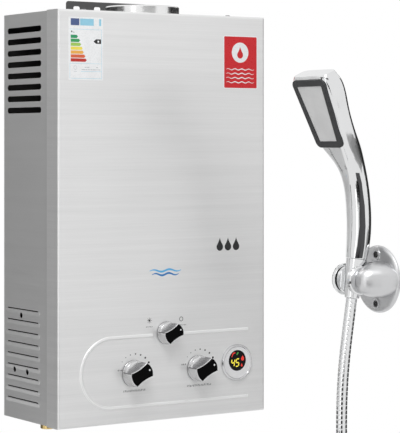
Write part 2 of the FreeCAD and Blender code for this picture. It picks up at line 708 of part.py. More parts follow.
def electrodes():
    """The spark and the flame electrode, alike, through the front of the chamber."""
    r, z = d.ceramic_radius, casing_bottom + d.electrode_rise
    profile = [(0, 0), (r, 0), (r, 8), (r + 2, 8), (r + 2, 12), (r, 12), (r, 22), (1, 22), (1, 44),
               (0, 44)]
    node("electrodes", group(*[
        turned("electrode", profile, side * d.electrode_x, shell_front - 12, z, ALONG_Y)
        for side in (-1, 1)]))


# ----------------------------------------------------------------------------------------------------
# Gas and water sections
# ----------------------------------------------------------------------------------------------------
def stub_places():
    return ((d.gas_inlet_x, valve_y, d.stub_radius), (d.cold_inlet_x, valve_y, d.stub_radius),
            (d.hot_outlet_x, hot_y, d.stub_radius))


def stub(x, y, top):
    """A pipe stub through the casing floor: its thread below, a neck, and its collar on the inside."""
    low = casing_bottom - d.stub_reach
    collar, thread = floor_top - low, 1 + d.stub_thread
    profile = [
        (d.stub_bore_radius, 0), (d.stub_radius - 1, 0), (d.stub_radius, 1), (d.stub_radius, thread),
        (d.stub_neck_radius, thread), (d.stub_neck_radius, collar),
        (d.stub_nut_radius, collar), (d.stub_nut_radius, collar + d.stub_nut_height),
        (d.stub_neck_radius, collar + d.stub_nut_height), (d.stub_neck_radius, top - low),
        (d.stub_bore_radius, top - low),
    ]
    return turned("stub", profile, x, y, low)


def gas_section():
    left, right = -d.gas_valve_left, -d.gas_valve_right
    body = fuse(box((left, valve_front, valve_bottom), (right, valve_back, valve_top)),
                rod(d.boss_radius, d.boss_height + 1, d.gas_knob_x, valve_front - d.boss_height, valve_z,
                    ALONG_Y))
    body = cut(body, rod(d.spindle_radius + d.running_fit, d.boss_height + d.spindle_in_valve + 5,
                         d.gas_knob_x, valve_front - d.boss_height - 1, valve_z, ALONG_Y),
               rod(d.rod_radius + d.running_fit, 21, right - 20, valve_y, valve_z, ALONG_X),
               rod(d.stub_bore_radius, 12, d.gas_inlet_x, valve_y, valve_bottom - 1))
    node("gas_valve_body", body)
    node("gas_solenoid", fuse(
        rod(d.solenoid_radius, d.solenoid_length, left - d.solenoid_length, valve_y, valve_z, ALONG_X),
        rod(d.solenoid_radius + 3, 3, left - 3, valve_y, valve_z, ALONG_X)))
    node("gas_inlet", stub(d.gas_inlet_x, valve_y, valve_bottom))
    half = d.season_valve_width / 2
    body = fuse(box((d.selector_x - half, season_front, season_bottom),
                    (d.selector_x + half, season_back, season_top)))
    body = cut(body, rod(d.spindle_radius + d.running_fit, d.spindle_in_valve + 3, d.selector_x,
                         season_front - 1, season_z, ALONG_Y))
    node("season_valve", body)
    x, y, level = -30, manifold_back - d.manifold_size / 2, season_bottom + 9
    path = rounded_path([(x, valve_y, valve_top), (x, valve_y, level), (x, y, level),
                         (d.selector_x - half, y, level)], 9)
    node("gas_riser", drawn(swept_tube(path, d.gas_tube_radius)))


def diaphragm_screw_places():
    radius = d.diaphragm_radius - 4.5
    for index in range(6):
        angle = math.radians(15 + 60 * index)
        yield valve_y + radius * math.cos(angle), valve_z + radius * math.sin(angle)


def water_section():
    left, right = d.diaphragm_cover_left, d.diaphragm_cover_right
    radius, bowl = d.diaphragm_radius, d.diaphragm_bowl_depth
    holes = [rod(d.screw_radius + d.screw_gap, 60, left - 10, y, z, ALONG_X)
             for y, z in diaphragm_screw_places()]
    node("water_valve_cover", cut(
        rod(radius, right - left, left, valve_y, valve_z, ALONG_X),
        rod(d.rod_plate_radius + 3, bowl + 1, right - bowl, valve_y, valve_z, ALONG_X),
        rod(d.rod_radius + d.running_fit, 30, left - 5, valve_y, valve_z, ALONG_X), *holes))
    body_left = right + d.diaphragm_thickness
    holes = [rod(d.screw_radius + d.screw_gap, 4, right - 1, y, z, ALONG_X)
             for y, z in diaphragm_screw_places()]
    node("diaphragm", cut(rod(radius, d.diaphragm_thickness, right, valve_y, valve_z, ALONG_X), *holes))
    body = fuse(rod(radius, d.water_body_disc, body_left, valve_y, valve_z, ALONG_X),
                box((body_left + 4, valve_front, stub_top), (d.water_valve_right, valve_back, valve_top)),
                rod(d.boss_radius, d.boss_height + 1, d.water_knob_x, valve_front - d.boss_height, valve_z,
                    ALONG_Y))
    holes = [rod(d.screw_radius + d.screw_gap, 9, body_left - 1, y, z, ALONG_X)
             for y, z in diaphragm_screw_places()]
    body = cut(body, rod(d.spindle_radius + d.running_fit, d.boss_height + d.spindle_in_valve + 5,
                         d.water_knob_x, valve_front - d.boss_height - 1, valve_z, ALONG_Y),
               rod(d.rod_plate_radius, 6, body_left - 1, valve_y, valve_z, ALONG_X),
               rod(d.stub_bore_radius, 12, d.cold_inlet_x, valve_y, stub_top - 1), *holes)
    node("water_valve_body", body)
    length = right - left + d.diaphragm_thickness + 6
    node("diaphragm_screws", group(*[
        screw(left, y, z, FreeCAD.Rotation(V(0, 1, 0), -90), length) for y, z in diaphragm_screw_places()]))
    places = [(valve_y + dy, valve_z + dz) for dy in (-14, 14) for dz in (-11, 11)]
    node("valve_standoffs", group(*[
        rod(d.standoff_radius, left + d.gas_valve_right, -d.gas_valve_right, y, z, ALONG_X)
        for y, z in places]))
    node("flow_switch", box((-d.gas_valve_right, valve_y - 6, valve_z + 5),
                            (d.standoff_radius * 2, valve_y + 6, valve_z + 19)))
    plate_x = right - d.holder_gap - d.rod_plate_thickness
    start = -d.gas_valve_right - d.rod_travel
    node("push_rod", fuse(
        rod(d.rod_radius, plate_x - start + 1, start, valve_y, valve_z, ALONG_X),
        rod(d.rod_plate_radius, d.rod_plate_thickness, plate_x, valve_y, valve_z, ALONG_X)))
    node("water_unions", group(stub(d.cold_inlet_x, valve_y, stub_top),
                               stub(d.hot_outlet_x, hot_y, stub_top)))


# ----------------------------------------------------------------------------------------------------
# Controls
# ----------------------------------------------------------------------------------------------------
def grip_outline(inset, share):
    """The bow-tie grip seen from the front: round ends on the knob's circle, hollow flanks."""
    radius = share * float(d.knob_radius) - inset
    half_end = share * float(d.knob_grip_width) / 2 - inset
    half_waist = share * float(d.knob_waist) / 2 - inset
    across = math.sqrt(radius ** 2 - half_end ** 2)
    edges = [
        Part.Arc(V(across, -half_end), V(radius, 0), V(across, half_end)),
        Part.Arc(V(across, half_end), V(0, half_waist), V(-across, half_end)),
        Part.Arc(V(-across, half_end), V(-radius, 0), V(-across, -half_end)),
        Part.Arc(V(-across, -half_end), V(0, -half_waist), V(across, -half_end)),
    ]
    return Part.Face(Part.Wire([edge.toShape() for edge in edges]))


def knob(name, x, z, valve_face, share=1.0):
    """A turned base with a bow-tie grip across it, a dark face on the grip and the valve's spindle."""
    turn = TO_FRONT.multiply(FreeCAD.Rotation(V(0, 0, 1), float(d.knob_angle)))
    radius, base, grip = d.knob_radius * share, d.knob_base_height * share, d.knob_grip_height * share
    y, inset = casing_front - d.knob_gap, float(d.knob_side_inset)
    profile = [(0, 0), (radius, 0), (radius, 1.4), (radius - inset, 1.9), (radius - inset, base - 1),
               (radius - inset - 1, base), (0, base)]
    bar = drawn(grip_outline(inset, share).extrude(V(0, 0, float(base + grip))))
    bore = rod(d.spindle_radius + d.running_fit, d.spindle_in_knob + 1, 0, 0, -1)
    node(name, place(cut(fuse(turned(name + "_skirt", profile), bar), bore), x, y, z, turn))
    face = grip_outline(inset + float(d.knob_cap_inset), share)
    face = face.extrude(V(0, 0, float(d.knob_cap_height)))
    top = [edge for edge in face.Edges if edge.CenterOfMass.z > float(d.knob_cap_height) - 1e-6]
    face = drawn(face.makeFillet(float(d.knob_cap_height) * 0.4, top))
    node(name + "_face", place(face, x, y - base - grip, z, turn))
    back = valve_face + d.spindle_in_valve
    length = back - y + d.spindle_in_knob
    node(name.replace("knob", "spindle"), turned(name + "_spindle", [
        (0, 0), (d.spindle_radius, 0), (d.spindle_radius, length - 0.5), (d.spindle_radius - 0.5, length),
        (0, length)], x, back, z, TO_FRONT))


def knobs():
    boss_face = valve_front - d.boss_height
    knob("gas_knob", d.gas_knob_x, valve_z, boss_face)
    knob("water_knob", d.water_knob_x, valve_z, boss_face)
    knob("selector_knob", d.selector_x, season_z, season_front, float(d.selector_share))


def display():
    radius, height, can = d.bezel_radius, d.bezel_height, d.display_can_radius
    seat = d.lens_radius + 0.2
    bezel = [(seat, 0), (radius, 0), (radius, height * 0.5), (radius - 1.2, height),
             (radius - 2.6, height), (radius - 3.6, height * 0.62), (seat, height * 0.62)]
    node("display_bezel", turned("display_bezel", bezel, d.display_x, casing_front, display_z, TO_FRONT))
    wall, depth = d.display_wall, d.display_can_depth
    rim, flange = can - wall - 0.3, 1.5
    lens = [(0, -flange), (rim, -flange), (rim, 0), (d.lens_radius, 0),
            (d.lens_radius, d.lens_height - 0.4), (d.lens_radius - 0.4, d.lens_height), (0, d.lens_height)]
    node("display_lens", turned("display_lens", lens, d.display_x, casing_front, display_z, TO_FRONT))
    can_profile = [(0, 0), (can, 0), (can, depth), (can - wall, depth), (can - wall, wall), (0, wall)]
    node("display_housing", turned("display_housing", can_profile, d.display_x, casing_front + depth,
                                   display_z, TO_FRONT))


# ----------------------------------------------------------------------------------------------------
# Electrics
# ----------------------------------------------------------------------------------------------------
def battery_case():
    """The battery bay's outer corners, above the casing floor."""
    half = 2 * d.cell_radius + 2 * d.cell_gap + d.battery_wall
    middle = casing_front + d.battery_setback
    reach = d.cell_length / 2 + 4 + d.battery_wall
    top = floor_top + 2 * d.cell_radius + 2 + d.battery_wall
    return (d.battery_x - half, middle - reach, floor_top), (d.battery_x + half, middle + reach, top)


def battery_opening():
    (x0, y0, z0), (x1, y1, _) = battery_case()
    wall = d.battery_wall
    return (x0 + wall, y0 + wall, z0 - 5), (x1 - wall, y1 - wall, z0 + 1)


def battery():
    low, high = battery_case()
    wall = d.battery_wall
    (ox0, oy0, _), (ox1, oy1, _) = battery_opening()
    pin_y, pin_z = oy1 - d.lid_barrel_radius - 0.4, rear_bottom + d.sheet / 2
    barrel = d.lid_barrel_radius
    inner = box((ox0, oy0, low[2] - 1), (ox1, oy1, high[2] - wall))
    ears = []
    for side in (-1, 1):
        near = d.battery_x + side * (d.lid_barrel_length / 2 + 0.3)
        far = d.battery_x + side * (d.lid_barrel_length / 2 + 5)
        x0, x1 = sorted((near, far), key=float)
        ears.append(fuse(box((x0, pin_y - barrel, pin_z), (x1, oy1 + 0.5, floor_top + 4)),
                         rod(barrel, x1 - x0, x0, pin_y, pin_z, ALONG_X)))
    hole = rod(d.lid_pin_radius + d.running_fit, d.lid_barrel_length + 20,
               d.battery_x - d.lid_barrel_length / 2 - 10, pin_y, pin_z, ALONG_X)
    ears_trimmed = common(fuse(*ears), box((ox0, pin_y - barrel, pin_z - barrel),
                                           (ox1, oy1, floor_top + 4)))
    node("battery_box", cut(fuse(cut(box(low, high), inner), ears_trimmed), hole))
    cells = []
    for side in (-1, 1):
        x = d.battery_x + side * (d.cell_radius + d.cell_gap)
        z = high[2] - wall - d.cell_gap - d.cell_radius
        profile = [(0, 0), (d.cell_radius, 0), (d.cell_radius, d.cell_length - 2),
                   (4.5, d.cell_length - 2), (4.5, d.cell_length), (0, d.cell_length)]
        y = (low[1] + high[1]) / 2 - d.cell_length / 2
        cells.append(turned("cell", profile, x, y, z, ALONG_Y))
    node("battery_cells", group(*cells))
    gap, thick = d.lid_gap, d.lid_thickness
    lid_top = pin_z + thick / 2
    plate = box((ox0 + gap, oy0 + gap, lid_top - thick), (ox1 - gap, pin_y, lid_top))
    notch = [box((x0, pin_y - barrel - 0.4, lid_top - 5), (x1, pin_y + 5, lid_top + 5))
             for x0, x1 in ((ox0, d.battery_x - d.lid_barrel_length / 2),
                            (d.battery_x + d.lid_barrel_length / 2, ox1))]
    knuckle = rod(barrel, d.lid_barrel_length, d.battery_x - d.lid_barrel_length / 2, pin_y, pin_z, ALONG_X)
    length = d.lid_barrel_length + 8
    studs = rod(d.lid_pin_radius, length, d.battery_x - length / 2, pin_y, pin_z, ALONG_X)
    node("battery_lid", fuse(cut(plate, *notch), knuckle, studs))


def electrics():
    low = (-(d.controller_width / 2), back_face - d.controller_depth, casing_bottom + d.controller_rise)
    high = (d.controller_width / 2, back_face, casing_bottom + d.controller_rise + d.controller_height)
    case = round_edges(box(low, high), Size(2), lambda e: e.BoundBox.YLength > 20)
    node("ignition_controller", case)
    face = low[1]
    z = casing_bottom + d.controller_rise
    battery_low, battery_high = battery_case()
    electrode_y, electrode_z = shell_front - 12, casing_bottom + d.electrode_rise
    solenoid_x = -d.gas_valve_left - d.solenoid_length + 8
    side_x = rear_half - d.sheet - 10
    routes = [
        [(30, face, z + 8), (30, face - 12, z + 8), (d.battery_x, face - 14, z + 4),
         (d.battery_x, (battery_low[1] + battery_high[1]) / 2, z - 20),
         (d.battery_x, (battery_low[1] + battery_high[1]) / 2, battery_high[2])],
        [(-30, face, z + 8), (-30, face - 12, z + 8), (solenoid_x, face - 14, z + 2),
         (solenoid_x, valve_y, z - 6), (solenoid_x, valve_y, valve_z + d.solenoid_radius)],
    ]
    for side in (-1, 1):
        x = side * d.electrode_x
        routes.append([
            (side * 38, face, z + 28), (side * 38, face - 9, z + 28), (side * side_x, face - 12, z + 24),
            (side * (side_x + 1), electrode_y - 14, z + 30),
            (side * (side_x + 1), electrode_y - 15, electrode_z - 8),
            (x, electrode_y - 12, electrode_z), (x, electrode_y, electrode_z)])
    wires = [drawn(swept_tube(rounded_path(route, 8), d.wire_radius)) for route in routes]
    node("wiring", group(*wires))


# ----------------------------------------------------------------------------------------------------
# Shower holder, handset and hose. p runs out of the side wall, toward -X.
# ----------------------------------------------------------------------------------------------------
def wall_point(p, rise=0.0, forward=0.0):
    """A point by its distance out from the side wall, above the pivot axis and toward the front."""
    return V(float(d.shower_wall_x) - float(p), float(d.holder_y) - float(forward),
             float(d.holder_z) + float(rise))


def axis_point(along):
    """A point on the cone's axis, by its distance above the pivot axis."""
    return wall_point(float(d.cone_reach) - along * math.sin(holder_tilt), along * math.cos(holder_tilt))


CONE_AXIS = FreeCAD.Rotation(V(0, 1, 0), float(d.cone_tilt))


def on_pivot(name, profile, forward):
    """A piece turned about the cradle's pivot axis, from its forward end toward the back."""
    return turned(name, profile, d.shower_wall_x - d.cone_reach, d.holder_y - forward, d.holder_z, ALONG_Y)


def on_cone_axis(name, profile, along):
    start = axis_point(float(along))
    return place(turned(name, profile), start.x, start.y, start.z, CONE_AXIS)


# the holder body's ribs from the wall out: distance from the wall, how far forward its middle is,
# half width, half height, squareness
HOLDER_RIBS = [
    (2, 7, 46.5, 25.5, 2.4), (8, 8, 45.5, 25.8, 2.5), (15, 12, 40.5, 25.4, 2.6),
    (22, 17.5, 33.5, 24.4, 2.6), (30, 23, 25.5, 22.8, 2.5), (38, 26, 19, 20.6, 2.4),
    (45, 27, 14.2, 17.4, 2.3), (50, 26.5, 9.8, 12.8, 2.2), (52.5, 26, 5.5, 7.5, 2.1),
]


def holder_rib(p, forward, width, height, square, points=32):
    corners = []
    for step in range(points):
        across, up = math.cos(2 * math.pi * step / points), math.sin(2 * math.pi * step / points)
        corners.append(wall_point(p, math.copysign(abs(up) ** (2 / square), up) * height,
                                  forward + math.copysign(abs(across) ** (2 / square), across) * width))
    curve = Part.BSplineCurve()
    curve.interpolate(corners, PeriodicFlag=True)
    return Part.Wire(curve.toShape())


def behind_arm(p, forward):
    """The room of the cradle: everything further from the wall than p and further back than this."""
    corner = wall_point(p, -60, forward)
    return Part.makeBox(120, 120, 120, corner - V(120, 0, 0))


def holder():
    gap, wall = d.holder_gap, float(d.holder_wall)
    reach, thick = d.plate_radius, d.plate_thickness
    profile = [(0, 0), (reach, 0), (reach, thick * 0.4), (reach - 0.8, thick * 0.7),
               (reach - 2.6, thick * 0.92), (reach - 5, thick), (0, thick)]
    middle = d.holder_y - d.plate_forward
    plate = place(turned("holder_disc", profile), d.shower_wall_x, middle, d.holder_z, OUT_OF_WALL)
    arm, setback = float(d.arm_forward), float(d.arm_setback)
    body = Part.makeLoft([holder_rib(*rib) for rib in HOLDER_RIBS], True, False)
    body = body.cut(behind_arm(setback, arm))
    inner = [(p - wall, forward, a - wall, b - wall, square)
             for p, forward, a, b, square in HOLDER_RIBS[:8]]
    hollow = Part.makeLoft([holder_rib(*rib) for rib in inner], True, False)
    hollow = hollow.cut(behind_arm(setback - wall, arm + wall))
    rings, holes, screws = [], [], []
    for side in (-0.5, 0.5):
        z = d.holder_z + d.holder_screw_spacing * side
        ring = thick + d.ear_ring_height
        rings.append(rod(d.ear_ring_radius, ring, d.shower_wall_x - ring, middle, z, ALONG_X))
        holes.append(rod(d.holder_hole_radius, 40, d.shower_wall_x - 35, middle, z, ALONG_X))
        holes.append(rod(d.screw_head_radius + 1, 30, d.shower_wall_x - 34, middle, z, ALONG_X))
        screws.append(screw(d.shower_wall_x - 4, middle, z, OUT_OF_WALL, Size(3.5)))
    pivot_x = d.shower_wall_x - d.cone_reach
    holes.append(rod(d.pivot_radius + d.running_fit, d.holder_wall + 2, pivot_x,
                     d.holder_y - d.arm_forward - d.holder_wall - 1, d.holder_z, ALONG_Y))
    node("holder_plate", cut(fuse(plate, drawn(body), *rings), drawn(hollow), *holes))
    node("holder_screws", group(*screws))
    head = d.pivot_head_height
    node("pivot_screw", on_pivot("pivot_screw", [
        (0, 0), (d.pivot_head_radius, 0), (d.pivot_head_radius, head), (d.pivot_radius, head),
        (d.pivot_radius, head + d.pivot_length), (0, head + d.pivot_length)],
        d.arm_forward + d.holder_wall + gap + head))
    start, r, length, neck = d.arm_forward - gap, d.cradle_radius, d.cradle_length, d.cradle_neck_radius
    profile = [(0, 0), (r - 1.5, 0), (r, 1.5), (r, length - 1.5), (r - 1.5, length), (neck, length),
               (neck, length + d.cradle_neck), (0, length + d.cradle_neck)]
    barrel = on_pivot("cradle_barrel", profile, start)
    grow = (d.cone_top_radius - d.cone_bottom_radius) / (d.cone_below + d.cone_above)
    margin = 12
    bottom = axis_point(-float(d.cone_below) - margin)
    socket = cone(d.cone_bottom_radius + d.cone_gap - grow * margin,
                  d.cone_top_radius + d.cone_gap + grow * margin,
                  d.cone_below + d.cone_above + 2 * margin, bottom.x, bottom.y, bottom.z, CONE_AXIS)
    mouth_low, mouth_reach = axis_point(-60), 60
    mouth = bind(add("Part::Box", "mouth"), Length=mouth_reach, Width=d.cradle_mouth, Height=120)
    place(mouth, mouth_low.x - mouth_reach * math.cos(holder_tilt), mouth_low.y - float(d.cradle_mouth) / 2,
          mouth_low.z + mouth_reach * math.sin(holder_tilt), CONE_AXIS)
    pivot_bore = rod(d.pivot_radius + d.running_fit, d.arm_forward, pivot_x, d.holder_y - d.arm_forward - 1,
                     d.holder_z, ALONG_Y)
    end = start - length - d.cradle_neck
    cap_bore = rod(d.cap_spigot_radius + 0.1, 10, pivot_x, d.holder_y - end - d.cap_spigot_length - 0.2,
                   d.holder_z, ALONG_Y)
    node("shower_cradle", cut(barrel, socket, mouth, pivot_bore, cap_bore))
    cap, thick, spigot = d.cap_radius, d.cap_reach, d.cap_spigot_radius
    node("cradle_cap", on_pivot("cradle_cap", [
        (0, -d.cap_spigot_length), (spigot, -d.cap_spigot_length), (spigot, gap), (cap - 2, gap),
        (cap - 0.6, gap + 0.5), (cap, gap + 1.8), (cap - 0.4, thick * 0.45), (cap - 2, thick * 0.68),
        (cap - 5, thick * 0.85), (cap - 11, thick * 0.97), (0, thick)], end))


# the handset's ribs from the cone to the top of the head:
# distance from the wall, rise, lean back, half depth, half width, squareness
HANDSET_RIBS = [
    (35.25, 29.93, 9, 14.6, 15.0, 2.0),
    (32.6, 50, 6, 16.2, 17.2, 2.0),
    (31.0, 76, 1, 16.8, 18.2, 2.1),
    (32.2, 106, -5, 16.5, 18.4, 2.2),
    (37.0, 138, -13, 16.0, 18.8, 2.3),
    (45.8, 164, -23, 16.6, 21.0, 2.6),
    (57.5, 184, -29, 17.6, 26.4, 3.2),
    (71.0, 203, -26, 16.9, 31.4, 4.6),
    (88.0, 241, -24, 16.2, 35.6, 6.0),
    (105.8, 281, -24, 15.4, 39.6, 6.0),
    (110.6, 292, -24, 12.4, 36.8, 5.0),
]
INLAY_HALVES = (4.6, 4.4, 4.0, 3.5, 2.8, 2.3, 2.2)     # the strips' half widths at the lower ribs
FACE_FOOT = (81.5, 187.8)       # the middle of the spray face's lower edge: wall distance, rise
FACE_LEAN = 24.0                # the face leans this far out from upright


def rib_wire(p, rise, lean, depth, width, square, points=28):
    """A closed smooth section across the handset."""
    centre, tilt = wall_point(p, rise), math.radians(lean)
    out = V(-math.cos(tilt), 0, math.sin(tilt))
    corners = []
    for step in range(points):
        angle = 2 * math.pi * step / points
        across, side = math.cos(angle), math.sin(angle)
        a = math.copysign(abs(across) ** (2 / square), across) * depth
        b = math.copysign(abs(side) ** (2 / square), side) * width
        corners.append(centre + out * a + V(0, -b, 0))
    curve = Part.BSplineCurve()
    curve.interpolate(corners, PeriodicFlag=True)
    return Part.Wire(curve.toShape())


def face_frame():
    """Origin and directions of the spray face: up along it and straight out of it."""
    lean = math.radians(FACE_LEAN)
    up = V(-math.sin(lean), 0, math.cos(lean))
    out = V(-math.cos(lean), 0, -math.sin(lean))
    return wall_point(*FACE_FOOT), up, out


def face_prism(inset, low, high):
    """The tapered round-cornered outline of the spray face, from low to high along its normal."""
    foot, up, out = face_frame()
    length = float(d.face_length)
    half_low, half_high = float(d.face_bottom_width) / 2 - inset, float(d.face_top_width) / 2 - inset
    side = V(0, -1, 0)
    corners = [foot + up * inset - side * half_low, foot + up * inset + side * half_low,
               foot + up * (length - inset) + side * half_high,
               foot + up * (length - inset) - side * half_high]
    corners = [corner + out * low for corner in corners]
    prism = Part.Face(Part.makePolygon(corners + corners[:1])).extrude(out * (high - low))
    upright = [edge for edge in prism.Edges
               if abs(abs(edge.tangentAt(edge.FirstParameter).dot(out)) - 1) < 1e-6]
    return prism.makeFillet(max(float(d.face_corner) - inset, 1.5), upright)


def seam_cutter():
    """Everything of the handle on the spray side of its strips, below the head."""
    middle = [(p + float(d.inlay_forward), rise) for p, rise, *_ in HANDSET_RIBS[:7]]
    line = [wall_point(p, rise, 60) for p, rise in middle]
    start = wall_point(middle[0][0] + 0.6, middle[0][1] - 10, 60)
    end = wall_point(86.0, 184.0, 60)
    curve = Part.BSplineCurve()
    curve.interpolate([start] + line[1:6] + [end])
    far_top = wall_point(150, 184.0, 60)
    far_low = wall_point(150, middle[0][1] - 10, 60)
    wire = Part.Wire([curve.toShape(), Part.LineSegment(end, far_top).toShape(),
                      Part.LineSegment(far_top, far_low).toShape(),
                      Part.LineSegment(far_low, start).toShape()])
    return Part.Face(wire).extrude(V(0, 120, 0))


def handset():
    whole = Part.makeLoft([rib_wire(*rib) for rib in HANDSET_RIBS], True, False)
    _, _, out = face_frame()
    depth = float(d.face_frame_depth)
    beyond = face_prism(-30, 0, 60)
    pocket = face_prism(-0.15, -depth + 1, 5)
    cavity = face_prism(float(d.face_frame_band) + 2, -depth - 7, 0)
    whole = whole.cut(beyond).cut(pocket).cut(cavity)
    front = whole.common(seam_cutter())
    back = whole.cut(seam_cutter())
    spigot = Part.makeCylinder(float(d.spigot_radius), float(d.spigot_length) + 0.4,
                               axis_point(float(d.cone_above - d.spigot_length)), axis_direction())
    grooves = inlay_solids(0.15, 1.2, 1)
    front, back = front.cut(grooves).cut(spigot), back.cut(grooves)
    node("handset_front_shell", drawn(biggest(front)))
    node("handset_back_shell", drawn(biggest(back.fuse(spigot).removeSplitter())))
    frame = face_prism(0, -depth + 1, 1).cut(face_prism(float(d.face_frame_band), -depth, 4))
    rim = [edge for edge in frame.Edges if edge.BoundBox.DiagonalLength > 3
           and abs((edge.CenterOfMass - face_frame()[0]).dot(out) - 1) < 1e-3]
    node("spray_frame", drawn(frame.makeFillet(0.6, rim)))
    band = float(d.face_frame_band)
    drop = float(d.spray_plate_drop)
    plate = face_prism(band + 0.1, -depth + 1, 1 - drop)
    node("spray_plate", drawn(plate))
    node("handset_inlays", drawn(inlay_solids(0, 1.0, 0.3)))


def axis_direction():
    return V(math.sin(holder_tilt), 0, math.cos(holder_tilt))


def biggest(shape):
    return max(shape.Solids, key=lambda solid: solid.Volume)


def inlay_solids(grow, depth, proud):
    """A dark strip let into each flank of the handle, along its seam, and proud of it by this much."""
    solids = []
    low, high = wall_point(0, 31.5 - grow), wall_point(0, 152 + grow)
    outer, core = (Part.makeLoft([rib_wire(p, rise, lean, a + step, b + step, square)
                                  for p, rise, lean, a, b, square in HANDSET_RIBS[:7]], True, False)
                   for step in (proud, -depth))
    skin = outer.cut(core)
    middle = [(rib[0] + float(d.inlay_forward), rib[1], half + grow)
              for rib, half in zip(HANDSET_RIBS, INLAY_HALVES)]
    for edge in (-1, 1):
        strip_points = [wall_point(p - half, rise, 0) for p, rise, half in middle]
        other = [wall_point(p + half, rise, 0) for p, rise, half in reversed(middle)]
        face = Part.Face(Part.makePolygon(strip_points + other + strip_points[:1]))
        solids.append(face.extrude(V(0, edge * 40, 0)))
    strip = solids[0].fuse(solids[1:])
    window = Part.makeBox(200, 200, high.z - low.z, V(high.x - 150, high.y - 100, low.z))
    return skin.common(strip).common(window)


def cone_nut():
    low, high, bore = d.cone_bottom_radius, d.cone_top_radius, d.spigot_radius + d.running_fit
    length = d.cone_below + d.cone_above
    profile = [(0, 0), (low - 0.6, 0), (low, 0.8), (high, length - 0.8), (high - 0.6, length - 0.3),
               (bore, length - 0.3), (bore, length - d.spigot_length - 0.3),
               (0, length - d.spigot_length - 0.3)]
    node("hose_cone_nut", on_cone_axis("hose_cone_nut", profile, -d.cone_below))


# the hose's route from the cone down to the coil: wall distance and rise, chosen by hand
HOSE_ROUTE = [(51.2, -70), (57.6, -114), (61.4, -158), (62.6, -202), (61.9, -246), (62.3, -290)]


def hose_points():
    start = axis_point(-float(d.cone_below))
    points = [start] + [wall_point(p, rise) for p, rise in HOSE_ROUTE]
    points.append(wall_point(d.coil_reach - d.coil_radius, -d.coil_drop))
    return points


def hose_wire():
    """Straight runs joined by the largest tangent arcs that fit."""
    points = hose_points()
    edges, start, radii = [], points[0], []
    for before, corner, after in zip(points, points[1:], points[2:]):
        into, out = corner - before, after - corner
        reach = 0.45 * min(into.Length, out.Length)
        turn = into.getAngle(out)
        radii.append(reach / math.tan(turn / 2))
        into.normalize()
        out.normalize()
        inward = (out - into).normalize()
        middle = corner + inward * (radii[-1] / math.cos(turn / 2) - radii[-1])
        first, last = corner - into * reach, corner + out * reach
        edges.append(Part.LineSegment(start, first).toShape())
        edges.append(Part.Arc(first, middle, last).toShape())
        start = last
    edges.append(Part.LineSegment(start, points[-1]).toShape())
    print("hose radii", [round(r, 1) for r in radii])
    return Part.Wire(edges)


def hose():
    path = hose_wire()
    tube = swept_tube(path, d.hose_radius)
    area = math.pi * float(d.hose_radius) ** 2
    print(f"hose tube {path.Length:.1f} mm, volume ratio {tube.Volume / (area * path.Length):.5f}")
    node("hose_tube", drawn(tube))
    centre = wall_point(d.coil_reach, -d.coil_drop)
    r, turn_radius = d.hose_radius, d.coil_radius
    width = (d.coil_turns + 1) * 2 * r
    profile = [(turn_radius - r, 3), (turn_radius - r + 3, 0), (turn_radius + r - 3, 0),
               (turn_radius + r, 3), (turn_radius + r, width - 3), (turn_radius + r - 3, width),
               (turn_radius - r + 3, width), (turn_radius - r, width - 3)]
    coil = turned("hose_coil", profile, centre.x, centre.y + float(r), centre.z, TO_FRONT)
    node("hose_coil", cut(coil, drawn(swept_tube(path, r + 0.1))))
    coil_length = float(d.coil_turns) * 2 * math.pi * float(turn_radius)
    print(f"hose whole length {path.Length + coil_length:.0f} mm of {float(d.hose_length):.0f}")
    front = centre.y + float(r) - float(width)
    nut_radius, nut_length = d.end_nut_radius, d.end_nut_length
    nut = [(6, 0), (nut_radius - 3, 0), (nut_radius - 1, 2), (nut_radius, 6), (nut_radius, nut_length - 1),
           (nut_radius - 1, nut_length), (6, nut_length)]
    node("hose_end_nut", turned("hose_end_nut", nut, centre.x + float(turn_radius),
                                front - float(nut_radius) - 0.02, centre.z - 20, DOWN))
    thick = float(d.tie_thickness)
    half, back = float(d.tie_width) / 2, centre.y + float(r)
    low, high = centre.z + float(turn_radius - r) - 0.6, centre.z + float(turn_radius + r) + 0.1
    outer = box((centre.x - half, front - thick, low - thick),
                (centre.x + half, back + thick, high + thick))
    inner = box((centre.x - half - 1, front, low), (centre.x + half + 1, back, high))
    node("hose_tie", cut(outer, inner))


# ----------------------------------------------------------------------------------------------------
# Build, check and write
# ----------------------------------------------------------------------------------------------------
SECTIONS = [rear_casing, front_cover, hanger, flue, exchanger, brackets, burner, electrodes, gas_section,
            water_section, knobs, display, battery, electrics, holder, handset, cone_nut, hose]


def check_document():
    for thing in doc.Objects:
        bad = [state for state in thing.State if state in ("Invalid", "Error")]
        if bad:
            raise RuntimeError(f"{thing.Name} ({thing.Label}) is {bad}")
    for name, thing in NODES.items():
        if thing.Shape.isNull() or not thing.Shape.isValid() or not thing.Shape.Solids:
            raise RuntimeError(f"{name} has no valid solid")


def main():
    for section in SECTIONS:
        section()
    doc.recompute()
    check_document()
    os.makedirs("parts", exist_ok=True)
    for name, thing in NODES.items():
        thing.Shape.exportStep(os.path.join("parts", name + ".step"))
        print(f"{name}: {len(thing.Shape.Solids)} solids, {thing.Shape.Volume / 1000:.1f} cm3")


main()
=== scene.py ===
"""The look of the wall-hung gas water heater and its hand shower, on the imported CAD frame. Metres."""
import json
import math

import bmesh
import bpy
from mathutils import Matrix, Vector


